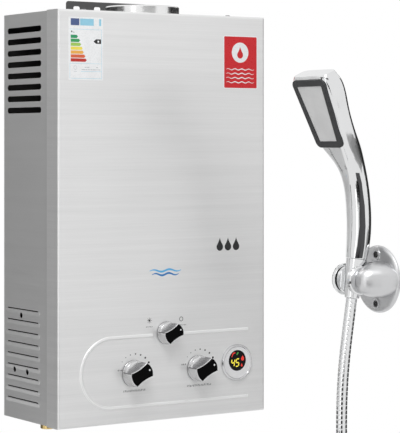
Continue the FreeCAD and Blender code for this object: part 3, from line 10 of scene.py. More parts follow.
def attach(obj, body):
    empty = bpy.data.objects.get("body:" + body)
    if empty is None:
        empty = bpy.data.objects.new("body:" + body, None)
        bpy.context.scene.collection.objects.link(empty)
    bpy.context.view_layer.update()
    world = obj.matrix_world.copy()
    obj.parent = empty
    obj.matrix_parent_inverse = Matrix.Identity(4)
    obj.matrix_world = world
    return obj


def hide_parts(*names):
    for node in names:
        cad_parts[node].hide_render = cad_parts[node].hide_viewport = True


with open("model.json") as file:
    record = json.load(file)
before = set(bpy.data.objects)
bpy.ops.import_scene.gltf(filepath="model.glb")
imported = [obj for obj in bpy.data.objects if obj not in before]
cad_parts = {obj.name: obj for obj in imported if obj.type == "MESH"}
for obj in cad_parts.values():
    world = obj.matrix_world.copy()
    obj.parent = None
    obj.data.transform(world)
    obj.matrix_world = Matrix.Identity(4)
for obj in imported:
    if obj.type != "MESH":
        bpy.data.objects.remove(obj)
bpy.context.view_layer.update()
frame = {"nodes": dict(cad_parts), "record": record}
nodes = frame["nodes"]
scene = bpy.context.scene

MM = 0.001
FRONT = -0.165              # the cover's front face, y
TOP, BOTTOM = -0.0145, -0.6045
HOLDER_Y = -0.365           # the plane of the hand shower and its hose
FRAME_WIDTH, FOCAL_PIXELS = 400, 1881.09


# ------------------------------------------------------------------------------------------------
# Camera
# ------------------------------------------------------------------------------------------------
def make_camera():
    data = bpy.data.cameras.new("camera")
    data.sensor_fit = "HORIZONTAL"
    data.sensor_width = 36
    data.lens = FOCAL_PIXELS / FRAME_WIDTH * data.sensor_width
    data.shift_y = -77.5 / FRAME_WIDTH
    data.clip_start, data.clip_end = 0.1, 20
    camera = bpy.data.objects.new("camera", data)
    camera.location = (-1.47102, -2.46532, -0.19715)
    camera.rotation_euler = (math.radians(90), 0, math.radians(-33.66))
    scene.collection.objects.link(camera)
    scene.camera = camera


make_camera()


# ------------------------------------------------------------------------------------------------
# Mesh helpers
# ------------------------------------------------------------------------------------------------
def link_mesh(name, verts, faces, materials, smooth=True, indices=None):
    mesh = bpy.data.meshes.new(name)
    mesh.from_pydata([tuple(v) for v in verts], [], faces)
    for material in materials:
        mesh.materials.append(material)
    for number, polygon in enumerate(mesh.polygons):
        polygon.use_smooth = smooth
        if indices:
            polygon.material_index = indices[number]
    mesh.update()
    piece = bpy.data.objects.new(name, mesh)
    scene.collection.objects.link(piece)
    return piece


def sharpen(piece, degrees=32):
    """Smooth shading that breaks at edges sharper than this."""
    for polygon in piece.data.polygons:
        polygon.use_smooth = True
    split = piece.modifiers.new("edges", "EDGE_SPLIT")
    split.split_angle = math.radians(degrees)
    return piece


def ride(piece, body, replaces=()):
    """Hangs the piece on the body that carries it and hides the nodes it stands for."""
    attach(piece, body)
    if replaces:
        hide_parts(*replaces)
    return piece


# ------------------------------------------------------------------------------------------------
# Materials
# ------------------------------------------------------------------------------------------------
class Shader:
    """A Principled material and the small node chains that vary it."""

    def __init__(self, name, color, metallic=0.0, roughness=0.5, **sockets):
        self.material = bpy.data.materials.new(name)
        self.material.use_nodes = True
        self.tree = self.material.node_tree
        self.bsdf = self.tree.nodes["Principled BSDF"]
        self.put("Base Color", (*color, 1))
        self.put("Metallic", metallic)
        self.put("Roughness", roughness)
        for socket, value in sockets.items():
            self.put(socket.replace("_", " "), value)
        self.normal = None

    def put(self, socket, value):
        self.bsdf.inputs[socket].default_value = value

    def new(self, kind, **settings):
        made = self.tree.nodes.new(kind)
        for key, value in settings.items():
            setattr(made, key, value)
        return made

    def link(self, start, end):
        self.tree.links.new(start, end)

    def grain(self, stretch, scale, detail=4.0, rough=0.55):
        """Noise over the object's own coordinates, stretched along each axis."""
        place = self.new("ShaderNodeTexCoord")
        mapping = self.new("ShaderNodeMapping")
        mapping.inputs["Scale"].default_value = stretch
        noise = self.new("ShaderNodeTexNoise")
        noise.inputs["Scale"].default_value = scale
        noise.inputs["Detail"].default_value = detail
        noise.inputs["Roughness"].default_value = rough
        self.link(place.outputs["Object"], mapping.inputs["Vector"])
        self.link(mapping.outputs["Vector"], noise.inputs["Vector"])
        return noise.outputs["Fac"]

    def ramp(self, source, low, high):
        """The middle of a noise, 0.3 to 0.7, spread over low to high."""
        ranged = self.new("ShaderNodeMapRange")
        ranged.inputs["From Min"].default_value = 0.3
        ranged.inputs["From Max"].default_value = 0.7
        ranged.inputs["To Min"].default_value = low
        ranged.inputs["To Max"].default_value = high
        self.link(source, ranged.inputs["Value"])
        return ranged.outputs["Result"]

    def vary_color(self, source, amount):
        """Lightens and darkens the colour by this share."""
        return self.times(self.ramp(source, 1 - amount, 1 + amount))

    def times(self, source):
        """Multiplies the colour by a value."""
        scaled = self.new("ShaderNodeVectorMath", operation="SCALE")
        feed = self.bsdf.inputs["Base Color"]
        if feed.is_linked:
            self.link(feed.links[0].from_socket, scaled.inputs[0])
        else:
            scaled.inputs[0].default_value = feed.default_value[:3]
        self.link(source, scaled.inputs["Scale"])
        self.link(scaled.outputs["Vector"], feed)
        return self

    def math(self, operation, *inputs):
        made = self.new("ShaderNodeMath", operation=operation)
        for slot, value in enumerate(inputs):
            if isinstance(value, bpy.types.NodeSocket):
                self.link(value, made.inputs[slot])
            else:
                made.inputs[slot].default_value = value
        return made.outputs[0]

    def along(self, direction):
        """How far along a direction a point of the object lies."""
        place = self.new("ShaderNodeTexCoord")
        dot = self.new("ShaderNodeVectorMath", operation="DOT_PRODUCT")
        self.link(place.outputs["Object"], dot.inputs[0])
        dot.inputs[1].default_value = direction
        return dot.outputs["Value"]

    def vary_roughness(self, source, low, high):
        self.link(self.ramp(source, low, high), self.bsdf.inputs["Roughness"])
        return self

    def bump(self, source, strength, distance):
        made = self.new("ShaderNodeBump")
        made.inputs["Strength"].default_value = strength
        made.inputs["Distance"].default_value = distance
        self.link(source, made.inputs["Height"])
        if self.normal:
            self.link(self.normal, made.inputs["Normal"])
        self.normal = made.outputs["Normal"]
        self.link(self.normal, self.bsdf.inputs["Normal"])
        return self


def brushed(name, color, stretch, metallic, roughness, depth=0.00003, contrast=0.035):
    """Sheet metal brushed along the axis that stretch leaves long."""
    made = Shader(name, color, metallic, roughness)
    fine = made.grain(stretch, 1.0, 5, 0.7)
    broad = made.grain([s * 0.22 for s in stretch], 1.0, 3, 0.5)
    cloud = made.grain((4, 4, 4), 1.0, 2, 0.5)
    made.vary_color(fine, contrast).vary_color(broad, contrast * 0.8).vary_color(cloud, 0.02)
    made.vary_roughness(fine, roughness - 0.06, roughness + 0.08)
    made.bump(fine, 0.35, depth)
    return made


def moulded(name, color, roughness=0.45, metallic=0.0, texture=0.00004, scale=900, **sockets):
    """Moulded plastic or rubber with its fine surface texture and slight unevenness."""
    made = Shader(name, color, metallic, roughness, **sockets)
    fine = made.grain((1, 1, 1), scale, 2, 0.6)
    broad = made.grain((1, 1, 1), 35, 3, 0.5)
    made.vary_color(broad, 0.06).vary_roughness(broad, roughness - 0.06, roughness + 0.08)
    made.bump(fine, 0.3, texture)
    return made


def plated(name, color=(0.82, 0.83, 0.85), roughness=0.07, wave=0.00006, uneven=1.0):
    """Chrome plate: nearly smooth, with faint handling marks and a slow unevenness below the plate."""
    made = Shader(name, color, 1.0, roughness)
    marks = made.grain((1, 1, 1), 60, 5, 0.65)
    made.vary_roughness(marks, roughness * (1 - 0.4 * uneven), roughness * (1 + 0.9 * uneven))
    made.vary_color(marks, 0.02)
    made.bump(made.grain((1, 1, 1), 26, 2, 0.4), 0.12, wave)
    return made


def cast(name, color, metallic=0.85, roughness=0.45):
    """Cast or machined metal."""
    made = Shader(name, color, metallic, roughness)
    fine = made.grain((1, 1, 1), 420, 4, 0.7)
    broad = made.grain((1, 1, 1), 30, 3, 0.5)
    made.vary_color(broad, 0.10).vary_color(fine, 0.05)
    made.vary_roughness(fine, roughness - 0.12, roughness + 0.12)
    made.bump(fine, 0.4, 0.00008)
    return made


COVER = brushed("cover_steel", (0.785, 0.785, 0.785), (7, 7, 430), 0.45, 0.36, contrast=0.03)
COVER.put("Coat Weight", 0.35)
COVER.put("Coat Roughness", 0.12)
# The casing's steel is set darker than the cover's; this is partly painted shade, for its sides that face
# away from the key light.
CASING = brushed("casing_steel", (0.61, 0.61, 0.61), (30, 7, 380), 0.40, 0.42, contrast=0.02)
CASING_BACK = -0.0019       # the back sheet's inner face, y
# across the casing and up it: the middle, and half the space between the walls
CASING_SPANS = ((1, 0, 0), 0, 0.1760), ((0, 0, 1), (TOP + BOTTOM) / 2, 0.2936)


def paint_shade_inside(casing, share=0.93):
    """Painted shade: darkens the faces between the casing's walls, where little light gets in."""
    inside = casing.math("LESS_THAN", casing.along((0, 1, 0)), CASING_BACK)
    for direction, middle, half in CASING_SPANS:
        reach = casing.math("ABSOLUTE", casing.math("SUBTRACT", casing.along(direction), middle))
        inside = casing.math("MULTIPLY", inside, casing.math("LESS_THAN", reach, half))
    casing.times(casing.math("SUBTRACT", 1.0, casing.math("MULTIPLY", inside, share)))


# painted shade on the inside faces of the casing
paint_shade_inside(CASING)
# Painted highlight: the bead's steel is lighter than the cover's, so the pressed line reads bright.
RIDGE_HIGHLIGHT = brushed("ridge_steel_painted_highlight", (0.92, 0.92, 0.92), (30, 30, 200), 0.40, 0.44, contrast=0.02)
# Painted shade: the flue hood is near black and the exchanger shell dark brown, so the inside reads dark
# through the vent slots.
HOOD_SHADE = cast("hood_steel_painted_shade", (0.035, 0.033, 0.032), 0.5, 0.55)
SHELL_SHADE = cast("shell_copper_painted_shade", (0.075, 0.042, 0.030), 0.6, 0.5)
ZINC = cast("zinc_steel", (0.30, 0.30, 0.305), 0.9, 0.34)
HANGER = brushed("hanger_steel", (0.10, 0.10, 0.10), (60, 60, 300), 0.7, 0.36)
COLLAR = brushed("collar_steel", (0.80, 0.80, 0.80), (80, 80, 500), 1.0, 0.18)
COPPER = cast("copper", (0.62, 0.30, 0.18), 0.95, 0.32)
BRASS = cast("brass", (0.66, 0.50, 0.22), 0.95, 0.30)
ALUMINIUM = cast("cast_aluminium", (0.56, 0.57, 0.58), 0.8, 0.48)
RUBBER = moulded("diaphragm_rubber", (0.03, 0.03, 0.03), 0.7)
BLACK = moulded("black_plastic", (0.008, 0.008, 0.009), 0.42)
SILVER = brushed("silver_plastic", (0.60, 0.60, 0.61), (40, 40, 40), 0.75, 0.30, contrast=0.02)
RECESS = moulded("satin_recess", (0.86, 0.86, 0.87), 0.34, 0.15, texture=0.00001)
CERAMIC = moulded("ceramic_white", (0.80, 0.79, 0.74), 0.25)
CELL = moulded("cell_jacket", (0.05, 0.05, 0.055), 0.3)
WIRE = moulded("wire_jacket", (0.45, 0.04, 0.03), 0.5)
CHROME = plated("plated_plastic", (0.74, 0.745, 0.75), 0.07)
DOME = plated("holder_chrome", (0.64, 0.642, 0.65), 0.36, 0.00001, 0.2)
HOSE = plated("hose_metal", (0.76, 0.765, 0.77), 0.12, 0.00003)
STRIP_DARK = plated("strip_metal", (0.075, 0.075, 0.078), 0.12)
DARK_GREY = moulded("dark_grey_plastic", (0.030, 0.031, 0.033), 0.45)
LIGHT_GREY = moulded("light_grey_plastic", (0.74, 0.74, 0.74), 0.45)
WINDOW = moulded("display_window", (0.003, 0.003, 0.004), 0.10, texture=0.000002)
WINDOW.put("Specular IOR Level", 0.12)
BEZEL = plated("bezel_chrome", (0.58, 0.582, 0.59), 0.10)
KNOB_FACE = moulded("knob_black", (0.0020, 0.0020, 0.0022), 0.42, texture=0.00001)
KNOB_FACE.put("Specular IOR Level", 0.04)
KNOB_SATIN = brushed("knob_satin", (0.70, 0.70, 0.705), (60, 60, 60), 0.95, 0.22, 0.00001, 0.015)
KNOB_FLANK = brushed("knob_flank", (0.24, 0.24, 0.245), (700, 30, 30), 0.90, 0.26, contrast=0.10)

BY_SLOT = {
    "cover_steel": COVER, "casing_steel": CASING, "zinc_steel": ZINC, "collar_steel": COLLAR,
    "copper": COPPER, "brass": BRASS, "cast_aluminium": ALUMINIUM, "diaphragm_rubber": RUBBER,
    "black_plastic": BLACK, "silver_plastic": SILVER, "display_window": WINDOW, "ceramic_white": CERAMIC,
    "cell_jacket": CELL, "wire_jacket": WIRE, "plated_plastic": CHROME, "hose_metal": HOSE,
    "dark_grey_plastic": DARK_GREY, "light_grey_plastic": LIGHT_GREY,
}
BY_NODE = {
    "flue_hood": HOOD_SHADE, "exchanger_shell": SHELL_SHADE, "wall_hanger": HANGER, "holder_plate": DOME,
    "handset_inlays": STRIP_DARK, "holder_screws": BLACK, "display_bezel": BEZEL,
}
for entry in frame["record"]["subparts"]:
    cad = nodes[entry["node"]]
    cad.data.materials.clear()
    shader = BY_NODE.get(entry["node"], BY_SLOT[entry["material_slot"]])
    cad.data.materials.append(shader.material)
    sharpen(cad)


# ------------------------------------------------------------------------------------------------
# Hose: the route's own points, then two turns of the coil and the end in its nut
# ------------------------------------------------------------------------------------------------
HOSE_ROUTE = [
    (0.18593, -0.365, -0.42268), (0.1788, -0.365, -0.467), (0.1724, -0.365, -0.511),
    (0.1686, -0.365, -0.555), (0.1674, -0.365, -0.599), (0.1681, -0.365, -0.643),
    (0.1677, -0.365, -0.687), (0.168, -0.365, -0.726),
]
COIL_CENTRE, COIL_RADIUS, HOSE_RADIUS = (0.073, -0.726), 0.095, 0.008
TURN_POINTS = 16


def hose_points():
    points = [Vector(p) for p in HOSE_ROUTE]
    radius = COIL_RADIUS / 0.981         # a quadratic spline runs inside its control points
    for step in range(1, 2 * TURN_POINTS + 1):
        turns = step / TURN_POINTS
        angle = -2 * math.pi * turns
        y = HOLDER_Y - 2 * HOSE_RADIUS * min(turns, 1.7)
        if turns > 1.7:
            y -= 0.0245 * ((turns - 1.7) / 0.3) ** 1.5
        points.append(Vector((COIL_CENTRE[0] + radius * math.cos(angle), y,
                              COIL_CENTRE[1] + radius * math.sin(angle))))
    points.append(Vector((0.168, -0.417, -0.750)))
    return points


def spline_curve(name, points):
    data = bpy.data.curves.new(name, "CURVE")
    data.dimensions = "3D"
    data.resolution_u = 24
    spline = data.splines.new("NURBS")
    spline.points.add(len(points) - 1)
    for target, point in zip(spline.points, points):
        target.co = (*point, 1)
    spline.order_u = 3
    spline.use_endpoint_u = True
    curve = bpy.data.objects.new(name, data)
    scene.collection.objects.link(curve)
    return curve


def curve_line(points):
    """Points read along the route's own spline."""
    curve = spline_curve("route", points)
    bpy.context.view_layer.update()
    mesh = bpy.data.meshes.new_from_object(curve)
    line = [v.co.copy() for v in mesh.vertices]
    bpy.data.objects.remove(curve)
    bpy.data.meshes.remove(mesh)
    return line


def resample(line, step):
    """The line as evenly spaced points, about a step apart, and its length."""
    lengths = [0.0]
    for a, b in zip(line, line[1:]):
        lengths.append(lengths[-1] + (b - a).length)
    count = max(2, round(lengths[-1] / step))
    out, here = [], 0
    for index in range(count + 1):
        want = lengths[-1] * index / count
        while here < len(lengths) - 2 and lengths[here + 1] < want:
            here += 1
        span = lengths[here + 1] - lengths[here]
        share = (want - lengths[here]) / span if span else 0
        out.append(line[here].lerp(line[here + 1], share))
    return out, lengths[-1]


def tube_mesh(name, line, radius_at, sides, material):
    """A tube along a line whose radius changes with the distance along it and round it."""
    verts, faces = [], []
    up = Vector((0, 1, 0))
    travelled = 0.0
    for index, point in enumerate(line):
        after = line[min(index + 1, len(line) - 1)]
        before = line[max(index - 1, 0)]
        along = (after - before).normalized()
        across = up - along * up.dot(along)
        across.normalize()
        up = across
        third = along.cross(across)
        if index:
            travelled += (point - line[index - 1]).length
        for side in range(sides):
            angle = 2 * math.pi * side / sides
            r = radius_at(travelled, angle)
            verts.append(point + (across * math.cos(angle) + third * math.sin(angle)) * r)
    for ring in range(len(line) - 1):
        for side in range(sides):
            a, b = ring * sides + side, ring * sides + (side + 1) % sides
            faces.append((a, b, b + sides, a + sides))
    faces.append(tuple(reversed(range(sides))))
    faces.append(tuple(range((len(line) - 1) * sides, len(line) * sides)))
    return link_mesh(name, verts, faces, [material])


def make_hose():
    route = curve_line(hose_points())
    rib = 0.0066
    line, length = resample(route, rib / 10)

    def ribbed(travelled, angle):
        phase = travelled / rib
        wave = min(1.0, 3.6 * abs(math.sin(math.pi * phase)))     # flat bands with narrow grooves
        return HOSE_RADIUS * (0.93 + 0.07 * wave)

    hose = tube_mesh("shower_hose", line, ribbed, 28, HOSE.material)
    path = resample(route, 0.004)[0]
    ride(hose, "handset", ("hose_tube", "hose_coil"))
    print("hose length", round(length, 4))


make_hose()


# ------------------------------------------------------------------------------------------------
# Flat things on the cover's front: x from its middle and v up from its lower edge, in millimetres
# ------------------------------------------------------------------------------------------------
def front_point(x, v, out=0.0):
    """A point this far out from the cover's face, in metres."""
    return Vector((x * MM, FRONT - out * MM, BOTTOM + v * MM))


class Marks:
    """Collects flat outlines and makes one thin raised piece of them."""

    def __init__(self, base=0.0, thick=0.1):
        self.base, self.thick = base, thick
        self.verts, self.faces = [], []

    def area(self, outline):
        start, count = len(self.verts), len(outline)
        for out in (self.base + self.thick, self.base - 0.05):
            self.verts += [front_point(x, v, out) for x, v in outline]
        turned = sum(a[0] * b[1] - b[0] * a[1] for a, b in zip(outline, outline[1:] + outline[:1])) < 0
        front = list(range(start, start + count))
        back = [index + count for index in front]
        self.faces.append(tuple(reversed(front)) if turned else tuple(front))
        self.faces.append(tuple(back) if turned else tuple(reversed(back)))
        for index in range(count):
            after = (index + 1) % count
            side = (front[index], back[index], back[after], front[after])
            self.faces.append(tuple(reversed(side)) if turned else side)
        return self

    def strip(self, inner, outer):
        """A closed band between two outlines of as many points."""
        start, count = len(self.verts), len(inner)
        for outline in (inner, outer):
            for out in (self.base + self.thick, self.base - 0.05):
                self.verts += [front_point(x, v, out) for x, v in outline]
        for index in range(count):
            after = (index + 1) % count
            a, b, c, e = (start + k * count for k in range(4))
            self.faces += [(a + index, c + index, c + after, a + after),
                           (b + after, e + after, e + index, b + index),
                           (c + index, e + index, e + after, c + after),
                           (a + after, b + after, b + index, a + index)]
        return self

    def disc(self, x, v, r, sides=32):
        return self.area(circle(x, v, r, sides))

    def ring(self, x, v, inner, outer, sides=40):
        return self.strip(circle(x, v, inner, sides), circle(x, v, outer, sides))

    def bar(self, x, v, length, width, angle=0.0):
        """A round-ended bar about its middle."""
        along = Vector((math.cos(angle), math.sin(angle)))
        across = Vector((-along.y, along.x))
        half, r, outline = (length - width) / 2, width / 2, []
        for end, first in ((1, -90), (-1, 90)):
            for step in range(7):
                turn = math.radians(first + step * 30)
                spot = along * (half * end + r * math.cos(turn)) + across * (r * math.sin(turn))
                outline.append((x + spot.x, v + spot.y))
        return self.area(outline)

    def make(self, name, shader, body="heater", slot="cover_steel"):
        piece = link_mesh(name, self.verts, self.faces, [shader.material], smooth=False)
        return ride(piece, body)


def circle(x, v, r, sides=32):
    return [(x + r * math.cos(2 * math.pi * k / sides), v + r * math.sin(2 * math.pi * k / sides))
            for k in range(sides)]


def rounded(x0, v0, x1, v1, r, steps=6):
    outline = []
    corners = (x1 - r, v0 + r, -90), (x1 - r, v1 - r, 0), (x0 + r, v1 - r, 90), (x0 + r, v0 + r, 180)
    for cx, cv, first in corners:
        for step in range(steps + 1):
            turn = math.radians(first + 90 * step / steps)
            outline.append((cx + r * math.cos(turn), cv + r * math.sin(turn)))
    return outline


def drop(x, v, width, height, lean=0.0):
    """A water drop with its round end down."""
    outline, r = [], width / 2
    for step in range(25):
        turn = math.radians(-215 + 250 * step / 24)
        outline.append((r * math.cos(turn), r + r * math.sin(turn)))
    (lx, lv), (rx, rv) = outline[0], outline[-1]
    for step in range(1, 6):
        share = step / 6
        outline.append((rx * (1 - share) ** 1.35, rv + (height - rv) * share))
    outline.append((0.0, height))
    for step in range(5, 0, -1):
        share = step / 6
        outline.append((lx * (1 - share) ** 1.35, lv + (height - lv) * share))
    return [(x + a + lean * b, v + b) for a, b in outline]


def wavy(x, v, length, swing, width, waves=1.0, along=0.0, steps=20):
    """A ribbon along a wave, tapering at both ends, turned by an angle."""
    upper, lower = [], []
    for step in range(steps + 1):
        share = step / steps
        rise = swing * math.sin(2 * math.pi * waves * share)
        half = width / 2 * math.sin(math.pi * (0.06 + 0.88 * share)) ** 0.7
        upper.append(((share - 0.5) * length, rise + half))
        lower.append(((share - 0.5) * length, rise - half))
    outline = lower + list(reversed(upper))
    return [(x + a * math.cos(along) - b * math.sin(along), v + a * math.sin(along) + b * math.cos(along))
            for a, b in outline]


def ink(name, color, roughness=0.45):
    """Printing ink or paper: slightly uneven in colour and gloss."""
    made = Shader(name, color, 0.0, roughness)
    fibre = made.grain((1, 1, 1), 700, 3, 0.6)
    made.vary_color(fibre, 0.04).vary_color(made.grain((1, 1, 1), 60, 2, 0.5), 0.03)
    made.vary_roughness(fibre, roughness - 0.08, roughness + 0.10)
    return made.bump(fibre, 0.15, 0.00001)


PAPER = ink("label_paper", (0.88, 0.89, 0.90), 0.30)
INK_BLACK = ink("black_ink", (0.012, 0.012, 0.013))
INK_GREY = ink("grey_ink", (0.10, 0.10, 0.105))
INK_PALE = ink("pale_grey_ink", (0.45, 0.47, 0.50))
INK_RED = ink("red_ink", (0.62, 0.005, 0.012), 0.32)


def make_ridge():
    """The pressed line round the controls, as a smooth bead over the casing's plain one, in a lighter steel
    as painted highlight.
    """
    left, right, rise, radius, gap_low, gap_high = -90.5, 146.5, 73.5, 50.0, -21.5, 26.5
    path = [(right, rise + radius)]
    path += [(gap_high + (right - gap_high) * (1 - k / 16), rise + radius) for k in range(1, 17)]
    runs = [path]
    path = [(gap_low, rise + radius)]
    path += [(gap_low + (left - gap_low) * k / 10, rise + radius) for k in range(1, 10)]
    path += [(left - radius * math.sin(math.pi * k / 48), rise + radius * math.cos(math.pi * k / 48))
             for k in range(49)]
    path += [(left + (right - left) * k / 24, rise - radius) for k in range(1, 25)]
    runs.append(path)
    verts, faces = [], []
    half, height, across = 2.6, 1.45, 12
    for run in runs:
        start = len(verts)
        for index, (x, v) in enumerate(run):
            before, after = run[max(index - 1, 0)], run[min(index + 1, len(run) - 1)]
            along = Vector((after[0] - before[0], after[1] - before[1])).normalized()
            normal = Vector((-along.y, along.x))
            for step in range(across + 1):
                turn = math.pi * step / across
                spot = Vector((x, v)) + normal * (half * math.cos(turn))
                verts.append(front_point(spot.x, spot.y, height * math.sin(turn) - 0.12))
        count = across + 1
        for ring in range(len(run) - 1):
            for step in range(across):
                a = start + ring * count + step
                faces.append((a, a + 1, a + 1 + count, a + count))
            a, b = start + ring * count, start + ring * count + across
            faces.append((a, a + count, b + count, b))
        faces.append(tuple(start + step for step in range(count))[::-1])
        last = start + (len(run) - 1) * count
        faces.append(tuple(last + step for step in range(count)))
    piece = link_mesh("pressed_line", verts, faces, [RIDGE_HIGHLIGHT.material])
    mesh = piece.data
    tidy = bmesh.new()
    tidy.from_mesh(mesh)
    bmesh.ops.recalc_face_normals(tidy, faces=tidy.faces)
    tidy.to_mesh(mesh)
    tidy.free()
    sharpen(piece, 50)
    ride(piece, "heater")


def dashes(marks, x0, x1, v, height, seed):
    """A plain row of short rules of uneven length."""
    x, step = x0, seed
    while x < x1 - 0.6:
        step = (step * 37 + 11) % 53
        length = 1.6 + 4.6 * step / 53
        end = min(x + length, x1)
        marks.area([(x, v), (end, v), (end, v + height), (x, v + height)])
        x = end + 0.7


def make_class_label():
    """A white label with plain blue blocks above seven coloured steps."""
    x0, v1 = 16.5 - 177.5, 579.4
    at = lambda x, down: (x0 + x, v1 - down)
    box = lambda a, b, c, e: [at(a, e), at(c, e), at(c, b), at(a, b)]
    Marks(0, 0.14).area(rounded(x0, v1 - 89, x0 + 56.4, v1, 1.2)).make("class_label", PAPER)
    Marks(0.14, 0.02).area(box(3.5, 2.2, 17.4, 11.9)).make("class_label_dark_block",
                                                          ink("navy_ink", (0.07, 0.11, 0.26)))
    pale = Marks(0.14, 0.02).area(box(18.7, 2.2, 41.0, 11.9)).area(box(49.8, 2.2, 53.2, 11.9))
    for down in (17.2, 65.4):
        pale.area(box(2.0, down, 54.0, down + 0.35))
    for down in (76.5, 86.4):
        pale.area(box(4.0 if down > 80 else 20.0, down, 54.0, down + 0.4))
    pale.area(box(2.0, 65.4, 2.35, 86.8)).area(box(53.7, 17.2, 54.05, 86.8))
    pale.make("class_label_heading", ink("sky_ink", (0.30, 0.62, 0.78)))
    colors = [(0.02, 0.30, 0.12), (0.04, 0.33, 0.10), (0.36, 0.58, 0.10), (0.88, 0.74, 0.10),
              (0.85, 0.42, 0.08), (0.72, 0.13, 0.05), (0.52, 0.03, 0.02)]
    lengths = (11.8, 15.2, 16.9, 19.6, 21.2, 23.8, 26.0)
    for index, (color, length) in enumerate(zip(colors, lengths)):
        top, end = 25.4 + 5.52 * index, 3.5 + length
        outline = [at(3.5, top + 4.6), at(end - 2.1, top + 4.6), at(end, top + 2.3),
                   at(end - 2.1, top), at(3.5, top)]
        Marks(0.14, 0.02).area(outline).make(f"class_step_{index + 1}", ink(f"step_ink_{index + 1}", color))
    marks = Marks(0.14, 0.02)
    marks.area([at(40.6, 34.0), at(44.6, 30.8), at(53.0, 30.8), at(53.0, 37.2), at(44.6, 37.2)])
    marks.area(drop(*at(5.0, 22.0), 2.2, 2.6)).area(box(7.0, 21.4, 9.6, 22.0))
    marks.make("class_label_pointer", INK_BLACK)
    Marks(0.16, 0.02).disc(*at(48.4, 34.0), 1.5).make("class_label_pointer_spot", PAPER)
    rules = Marks(0.14, 0.02)
    for down, start, end in ((70.2, 26, 35), (70.2, 45, 47.5), (73.6, 21, 52)):
        dashes(rules, at(start, 0)[0], at(end, 0)[0], at(0, down + 1.0)[1], 0.9, start)
    rules.ring(*at(11, 71.5), 2.4, 2.8).bar(*at(11, 76.8), 5.0, 0.5)
    rules.make("class_label_rules", INK_PALE)


def make_red_label():
    """A plain red sticker with a white edge, a drop in a white disc and plain white ripples."""
    x0, v0, x1, v1 = 280 - 177.5, 482.0, 341.5 - 177.5, 561.0
    Marks(0, 0.14).area(rounded(x0, v0, x1, v1, 2.4)).make("red_label_edge", PAPER)
    Marks(0.14, 0.02).area(rounded(x0 + 1.3, v0 + 1.3, x1 - 1.3, v1 - 1.3, 1.6)).make("red_label", INK_RED)
    x, v = 310 - 177.5, 536.0
    Marks(0.16, 0.02).disc(x, v, 15.0, 48).make("red_label_disc", PAPER)
    Marks(0.18, 0.02).area(drop(x, v - 8.8, 10.6, 17.6)).make("red_label_drop", INK_RED)
    lines = Marks(0.16, 0.02)
    for index in range(4):
        lines.area(wavy(x, 511.0 - index * 6.4, 50.0, 0.9, 1.5, 4.0, steps=60))
    lines.make("red_label_lines", PAPER)


def make_emblems():
    """One long low two-blue ripple in the middle of the cover and three dark drops to its right."""
    Marks(0, 0.03).area(wavy(0.5, 216.6, 54.0, 1.5, 3.0, 2.0, steps=48)).make(
        "wave_mark_light", ink("light_blue_ink", (0.10, 0.45, 0.80)))
    Marks(0, 0.03).area(wavy(0.5, 211.2, 46.0, 1.5, 3.0, 2.0, steps=48)).make(
        "wave_mark_dark", ink("deep_blue_ink", (0.03, 0.20, 0.52)))
    drops = Marks(0, 0.03)
    for index in range(3):
        drops.area(drop(273.5 - 177.5 + index * 14.6, 242.0, 11.6, 19.4))
    drops.make("drop_marks", INK_BLACK)


def make_scales():
    """The dots round the gas and water knobs, the season icons and the plain ticks below them."""
    black, grey = Marks(0, 0.03), Marks(0, 0.03)
    for x in (-54.0, 57.5):
        for index in range(7):
            turn = math.radians(137 - index * 18.1)
            radius, reach = 0.60 + 0.16 * index, 26 + 0.6 * index
            spot = (x + reach * math.cos(turn), 71 + reach * math.sin(turn))
            (black if index > 2 else grey).disc(*spot, radius, 16)
        for step in range(3):
            black.bar(x - (19.6 if x < 0 else 22.4) - step * 2.9, 76.6 if x < 0 else 78.0, 2.4, 1.2,
                      math.radians(80))
        count = 14 if x < 0 else 16
        for index in range(count):
            offset = (index - (count - 1) / 2) * 2.72
            lean = (90, 62, 118, 90)[index * 7 % 4]
            grey.bar(x + 1.5 + offset, 46.0, 2.8, 0.9, math.radians(lean))
            if index * 5 % 3:
                grey.bar(x + 1.5 + offset, 45.0 + 2 * (index % 2), 2.0, 0.75)
    for index in range(8):
        turn = 2 * math.pi * index / 8
        black.bar(150.5 - 177.5 + 3.1 * math.cos(turn), 145.3 + 3.1 * math.sin(turn), 2.1, 0.6, turn)
    black.disc(150.5 - 177.5, 145.3, 1.7, 20)
    grey.ring(205.3 - 177.5, 144.8, 2.5, 3.4)
    for x, count, row in ((150.3 - 177.5, 5, 136.2), (208.6 - 177.5, 5, 136.0)):
        for index in range(count):
            lean = math.radians(90 if index % 2 else 60)
            grey.bar(x + (index - (count - 1) / 2) * 2.3, row, 1.9, 0.8, lean)
    black.make("scale_dots", INK_BLACK)
    grey.make("scale_rules", INK_GREY)


def lathe(profile, sides, cap=True):
    """Verts and faces of a profile of (radius, height) turned about the height."""
    verts, faces = [], []
    for r, h in profile:
        verts += [Vector((r * math.cos(2 * math.pi * k / sides), r * math.sin(2 * math.pi * k / sides), h))
                  for k in range(sides)]
    for ring in range(len(profile) - 1):
        for k in range(sides):
            a, b = ring * sides + k, ring * sides + (k + 1) % sides
            faces.append((a, b, b + sides, a + sides))
    if cap:
        faces.append(tuple(reversed(range(sides))))
        faces.append(tuple((len(profile) - 1) * sides + k for k in range(sides)))
    return verts, faces


